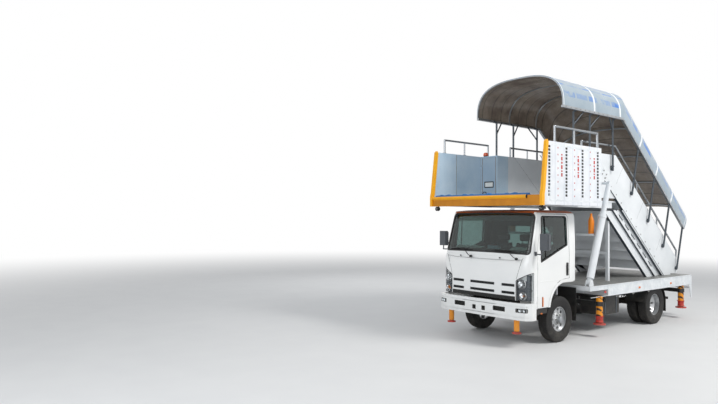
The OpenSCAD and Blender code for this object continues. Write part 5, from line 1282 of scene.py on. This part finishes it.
black = [mark(y, z, 29, 40) for y in range(-850, 780, 510) for z in range(2590, 3440, 58)]
red = [mark(y, z, 10, 26) for y in range(-595, 780, 510) for z in range(2590, 3440, 116)]
red += [mark(y, z, 22, high, 0.6) for y in (-480, 30, 560)
        for z, high in ((2930, 60), (3010, 26), (3056, 70), (3150, 34), (3206, 62), (3290, 26))]
pair("film_print_black", join(*black), "black_abs", STAGE)
pair("film_print_red", join(*red), "pad_red", STAGE)
border = dense([(-840, 2520), (770, 2520), (770, 3440), (-770, 3455)], 24)
count = np.arange(len(border))
shake = 7 * np.sin(count * 2.1) + 5 * np.sin(count * 0.77)
path = np.insert(border + np.stack([shake, shake[::-1]], 1), 0, WALL_X, axis=1)
fold = [(-22, -1), (22, -1), (9, 0.9), (-6, 0.8)]
pair("film_edge", sweep(path, fold, True, LEFT), "film_deck", STAGE)
piece("roll_cap", turned([(0, 33), (10, 36), (16, 30), (17, 1)], (955, -1016, 2585), 36), "black_abs", STAGE)
along = np.linspace(-1240, 930, 120)
rise = 9 * np.sin(along / 31) + 8 * np.sin(along / 83 + 1)
path = np.stack([along, -905 + 5 * np.sin(along / 57), FLOOR_Z + 1 + np.maximum(rise, 0)], 1)
crest = [(40, 0), (-40, 0), (-34, 42), (-10, 72), (22, 60)]
piece("floor_film", sweep(path, crest), "floor_mat", STAGE, sharp=50)
print("bars printed on the film", len(black), "black and", len(red), "red")

# %% [markdown]
# ### Cupboard door, beacon and work lamps
# These fittings are bought in: a card frame and a bar handle on the door, and lamps with a bowl, a rim
# and a lens each. The work lamps use the headlamps' reflector again, in another size.

# %% Cupboard door, beacon and work lamps
LEAF = "cabinet_leaf"
for name, frame_box, r, depth, y, kind, bevel in (
        ("door_card_frame", (-1143, 2850, -900, 2983), 10, 4, 441, "black_abs", 1),
        ("door_card", (-1122, 2872, -921, 2961), 6, 2, 437.5, "paper_white", 0.5)):
    piece(name, plate(rounded_rect(*frame_box, r), depth, (0, y, 0)), kind, LEAF, bevel=bevel)
handle = bent([(-1180, 433, 2612), (-1180, 433, 2765), (-1086, 433, 2765), (-1086, 433, 2612)], 44)
piece("door_pull", sweep(handle, bar(5, 12, 4)), "black_abs", LEAF)
trim = [box((x - 4, 436, 2615), (x + 4, 441, 3480)) for x in (-1196, -846)]
piece("leaf_trims", join(*trim), "edge_brown", LEAF, bevel=1)
joints = [box((x - 6, y - 6, 2586), (x + 6, y + 6, 3500)) for x in (-1241, 1241) for y in (-330, 440)]
piece("wall_joints", join(*joints), "hoop_aluminium", STAGE, bevel=1)
dome = [(0, 50), (6, 53), (44, 52), (60, 44), (68, 26), (70, 1)]
piece("beacon_dome", turned(dome, (-1176, 520, WALL_TOP + 24), 40, axis=2), "beacon_lens", STAGE)
lens = [(-9, 1), (-9, 16), (-6, 28), (-2, 33), (0, 33)]
for side, sign in SIDES:
    x, y, z = sign * 1190, -951, 2387
    piece("work_lamp_bowl_" + side, bowl((x, y - 2, z), 32, 12), "reflector_chrome", STAGE)
    piece("work_lamp_rim_" + side, ring_bar((x, y - 2, z), 37, 6), "black_abs", STAGE)
    piece("work_lamp_lens_" + side, turned(lens, (x, y, z), 32, axis=1), "lamp_glass", STAGE)
FEET = (-660, -60, 700)
feet = [box((1243, y - 34, WALL_TOP), (1283, y + 34, WALL_TOP + 8)) for y in FEET]
heads = bolts([(1263, y + d, WALL_TOP + 8) for y in FEET for d in (-27, 27)], (0, 0, 1), 7, 5)
pair("rail_flanges", join(*feet, heads), "stainless", STAGE, bevel=1.5)
print("platform made")

# %% [markdown]
# ## Canopy
# Sheets are bent over the hoops and clamped by bands outside, one over each hoop. A folded trim closes
# the open ends, and bolts hold the sheet to the rail under the eave.

# %% Bands, trims and bolts of the canopy
SLOPE = math.atan2(200, 250)
BEND_Y, EAVE_Z = 2170, 4270
BEND_N = BEND_Y * math.sin(SLOPE) + EAVE_Z * math.cos(SLOPE)


def from_slope(x, t, n):
    """Places given along the slope (t, down) and square to it (n)."""
    x, t, n = np.broadcast_arrays(floats(x), t, n)
    return np.stack([x, t * math.cos(SLOPE) + n * math.sin(SLOPE), n * math.cos(SLOPE) - t * math.sin(SLOPE)], -1)


def arch_line(half, rise, count=60):
    """The canopy's arch from the right eave to the left: x = half cos^0.72, z = rise sin^0.72."""
    a = np.linspace(np.pi, 0, count)
    return half * np.sign(np.cos(a)) * np.abs(np.cos(a)) ** 0.72, rise * np.abs(np.sin(a)) ** 0.72


BAND = [(-28, -3), (28, -3), (26, 1.2), (-26, 1.2)]
TRIM = [(-10, -16), (12, -16), (12, 1.2), (-10, 1.2)]
arch_x, arch_z = arch_line(1000, 660)
bands = [sweep(np.stack([arch_x, 0 * arch_x + y, EAVE_Z + arch_z], 1), section, start_up=(-1, 0, 0))
         for y, section in ((37, TRIM), (1077, BAND), (2047, BAND))]
for y, back, section in ((2850, 17, BAND), (3560, 17, BAND), (4260, 17, BAND), (4915, 4, TRIM)):
    z = (BEND_N - y * math.sin(SLOPE)) / math.cos(SLOPE)
    t = y * math.cos(SLOPE) - z * math.sin(SLOPE) - back
    bands.append(sweep(from_slope(arch_x, t, BEND_N + arch_z), section, start_up=(-1, 0, 0)))
piece("canopy_bands", join(*bands), "structure_enamel", STAGE, sharp=40)
level = np.insert(np.linspace((24, 4232), (2160, 4232), 12), 0, 1001.5, axis=1)
sloping = from_slope(1001.5, np.linspace(-960, 2590, 16), BEND_N - 38)
eaves = [sweep(line, [(-7, -2), (7, -2), (7, 3), (-7, 3)], start_up=LEFT) for line in (level, sloping)]
pair("eave_trims", join(*eaves), "hoop_aluminium", STAGE)
places = [(1001, y, 4252) for y in range(110, 2150, 160)]
places += list(from_slope(1001, np.arange(-900, 2560, 170), BEND_N - 18))
pair("eave_bolts", bolts(places, LEFT, 10, 7), "zinc_bolt", STAGE)
feet = [box((852, y - 42, 3270), (900, y + 42, 3290)) for y in (1090, 1950)]
pair("post_gussets", join(*feet), "support_steel", STAGE, bevel=1.5)
print("canopy made")

# %% [markdown]
# ## Stairs
# Every tread ends in a black gritted nosing that folds over its edge. The outer panels are joined from
# sheets, so fine seams cross them, and a folded edge closes their top. Bolts hold the guides inside.

# %% Nosings, seams and fittings of the stairs
RISE = 200
STAIR_TOP_Y = 2378
UPPER_N = STAIR_TOP_Y * math.sin(SLOPE) + FLOOR_Z * math.cos(SLOPE)
FLIGHT_STEP = (RISE + 24) * math.cos(SLOPE) + 14


def nosings(half, n, z0, count, body, name):
    """Nosing strips, one a tread: each lies behind the edge where the tread's height meets the line n."""
    strips = []
    for z in z0 + RISE * np.arange(count):
        y = (n - z * math.cos(SLOPE)) / math.sin(SLOPE)
        strips += [box((-half, y - 58, z - 1), (half, y - 4, z + 3)),
                   box((-half, y - 4, z - 14), (half, y + 1.5, z + 1))]
    piece(name, join(*strips), "nosing_grit", body, bevel=1)


nosings(760, UPPER_N, 1180, 8, STAGE, "upper_nosings")
nosings(745, UPPER_N - FLIGHT_STEP, 1170, 7, "middle_stage", "middle_nosings")
nosings(720, UPPER_N - 2 * FLIGHT_STEP, 1170, 7, "truck", "lower_nosings")
PANEL_OUT = 850
across = np.linspace(UPPER_N + 100, UPPER_N + 582, 8)
seams = [sweep(from_slope(PANEL_OUT + 0.5, t, across), [(-1.6, -1), (1.6, -1), (1.6, 1.2), (-1.6, 1.2)],
               start_up=LEFT) for t in (-150, 960, 2070)]
edge_line = from_slope(PANEL_OUT - 6, np.linspace(-720, 2260, 14), UPPER_N + 586)
seams.append(sweep(edge_line, rounded_rect(-3, -9, 3, 8, 2), start_up=LEFT))
pair("panel_seams", join(*seams), "pale_trim", STAGE)
pair("guide_bolts", bolts(from_slope(871, np.arange(-560, 2400, 260), UPPER_N - 62), LEFT, 13, 8), "zinc_bolt", STAGE)
plate_bolts = [[884, 1482, 2911] + from_slope(0, t, n) for t in (-60, 60) for n in (200, 290)]
pair("post_plate_bolts", bolts(plate_bolts, LEFT, 15, 10), "zinc_bolt", STAGE)
print("stairs made")

# %% [markdown]
# ## Light and floor
# A plain studio: a pale floor that runs into a white background, one large soft lamp high on the
# truck's left side as the sun is in the photograph, two weaker ones, and a pale sky all round.

# %% Floor and sky
def seen(tree):
    """1 for rays that a viewer, a mirror or a clear body sends out, and 0 for those that light things."""
    ray = add(tree, "LightPath").node.outputs
    direct = add(tree, "Math ADD", [ray["Is Camera Ray"], ray["Is Glossy Ray"]])
    return add(tree, "Math ADD", [direct, ray["Is Transmission Ray"]], use_clamp=True)


FLOOR_HALF = 90
floor_paint = bpy.data.materials.new("studio_floor")
tree = blank(floor_paint)
place = add(tree, "TexCoord", out="Object")
speckle = add(tree, "TexNoise", {"Vector": place, "Scale": 1.4, "Detail": 6.0})
colour = add(tree, "Mix", {0: speckle, 6: linear("D2D3D4"), 7: linear("DADBDB")}, **RGBA)
matt = add(tree, "BsdfPrincipled", {"Base Color": colour, "Roughness": 0.75})
white = add(tree, "Emission", [(1, 1, 1, 1), 1.0])
reach = add(tree, "VectorMath LENGTH", [place], "Value")
far = add(tree, "MapRange", [reach, 9.0, 30.0], interpolation_type="SMOOTHSTEP")
shown = add(tree, "Math MULTIPLY", [far, seen(tree)])
add(tree, "OutputMaterial", [add(tree, "MixShader", [shown, matt, white])])
floor_mesh = bpy.data.meshes.new("studio_floor")
corners = [(-1, -1, 0), (1, -1, 0), (1, 1, 0), (-1, 1, 0)]
floor_mesh.from_pydata((np.array(corners) * FLOOR_HALF).tolist(), [], [(0, 1, 2, 3)])
floor_mesh.materials.append(floor_paint)
floor = placed("studio_floor", floor_mesh)

scene = bpy.context.scene
scene.world = bpy.data.worlds.new("studio")
sky = blank(scene.world)
around = add(sky, "Background", [(0.93, 0.96, 1.0, 1), 0.5])
backdrop = add(sky, "Background", [(1, 1, 1, 1), 1.0])
add(sky, "OutputWorld", [add(sky, "MixShader", [seen(sky), around, backdrop])])
print("floor", 2 * FLOOR_HALF, "m wide")

# %% [markdown]
# ### Lamps
# An area lamp shines from its whole face: the wider it is, the softer the shadow. The key lamp is 4 m
# wide, and the two that open up the dark sides are 6 and 7 m.

# %% Lamps
def lamp(name, place, aim_z, size, power, colour=(1, 1, 1)):
    """A square soft lamp at place that looks at a point above the middle of the floor, in metres."""
    data = bpy.data.lights.new(name, "AREA")
    data.shape, data.size, data.energy, data.color = "SQUARE", size, power, colour
    back = floats(place) - [0, 0, aim_z]
    back /= np.linalg.norm(back)
    side = np.cross([0, 0, 1], back)
    side /= np.linalg.norm(side)
    placed(name, data).matrix_world = posed(side, np.cross(back, side), back, place)


lamp("key", (9.0, 1.0, 11.5), 1.5, 4.0, 1300, (1.0, 0.98, 0.95))
lamp("front", (3.0, -13.0, 6.0), 1.8, 7.0, 420, (0.97, 0.985, 1.0))
lamp("far_side", (-10.0, 2.0, 7.0), 1.8, 6.0, 200)
scene.view_settings.view_transform = "Standard"
print("lamps", len(bpy.data.lights))
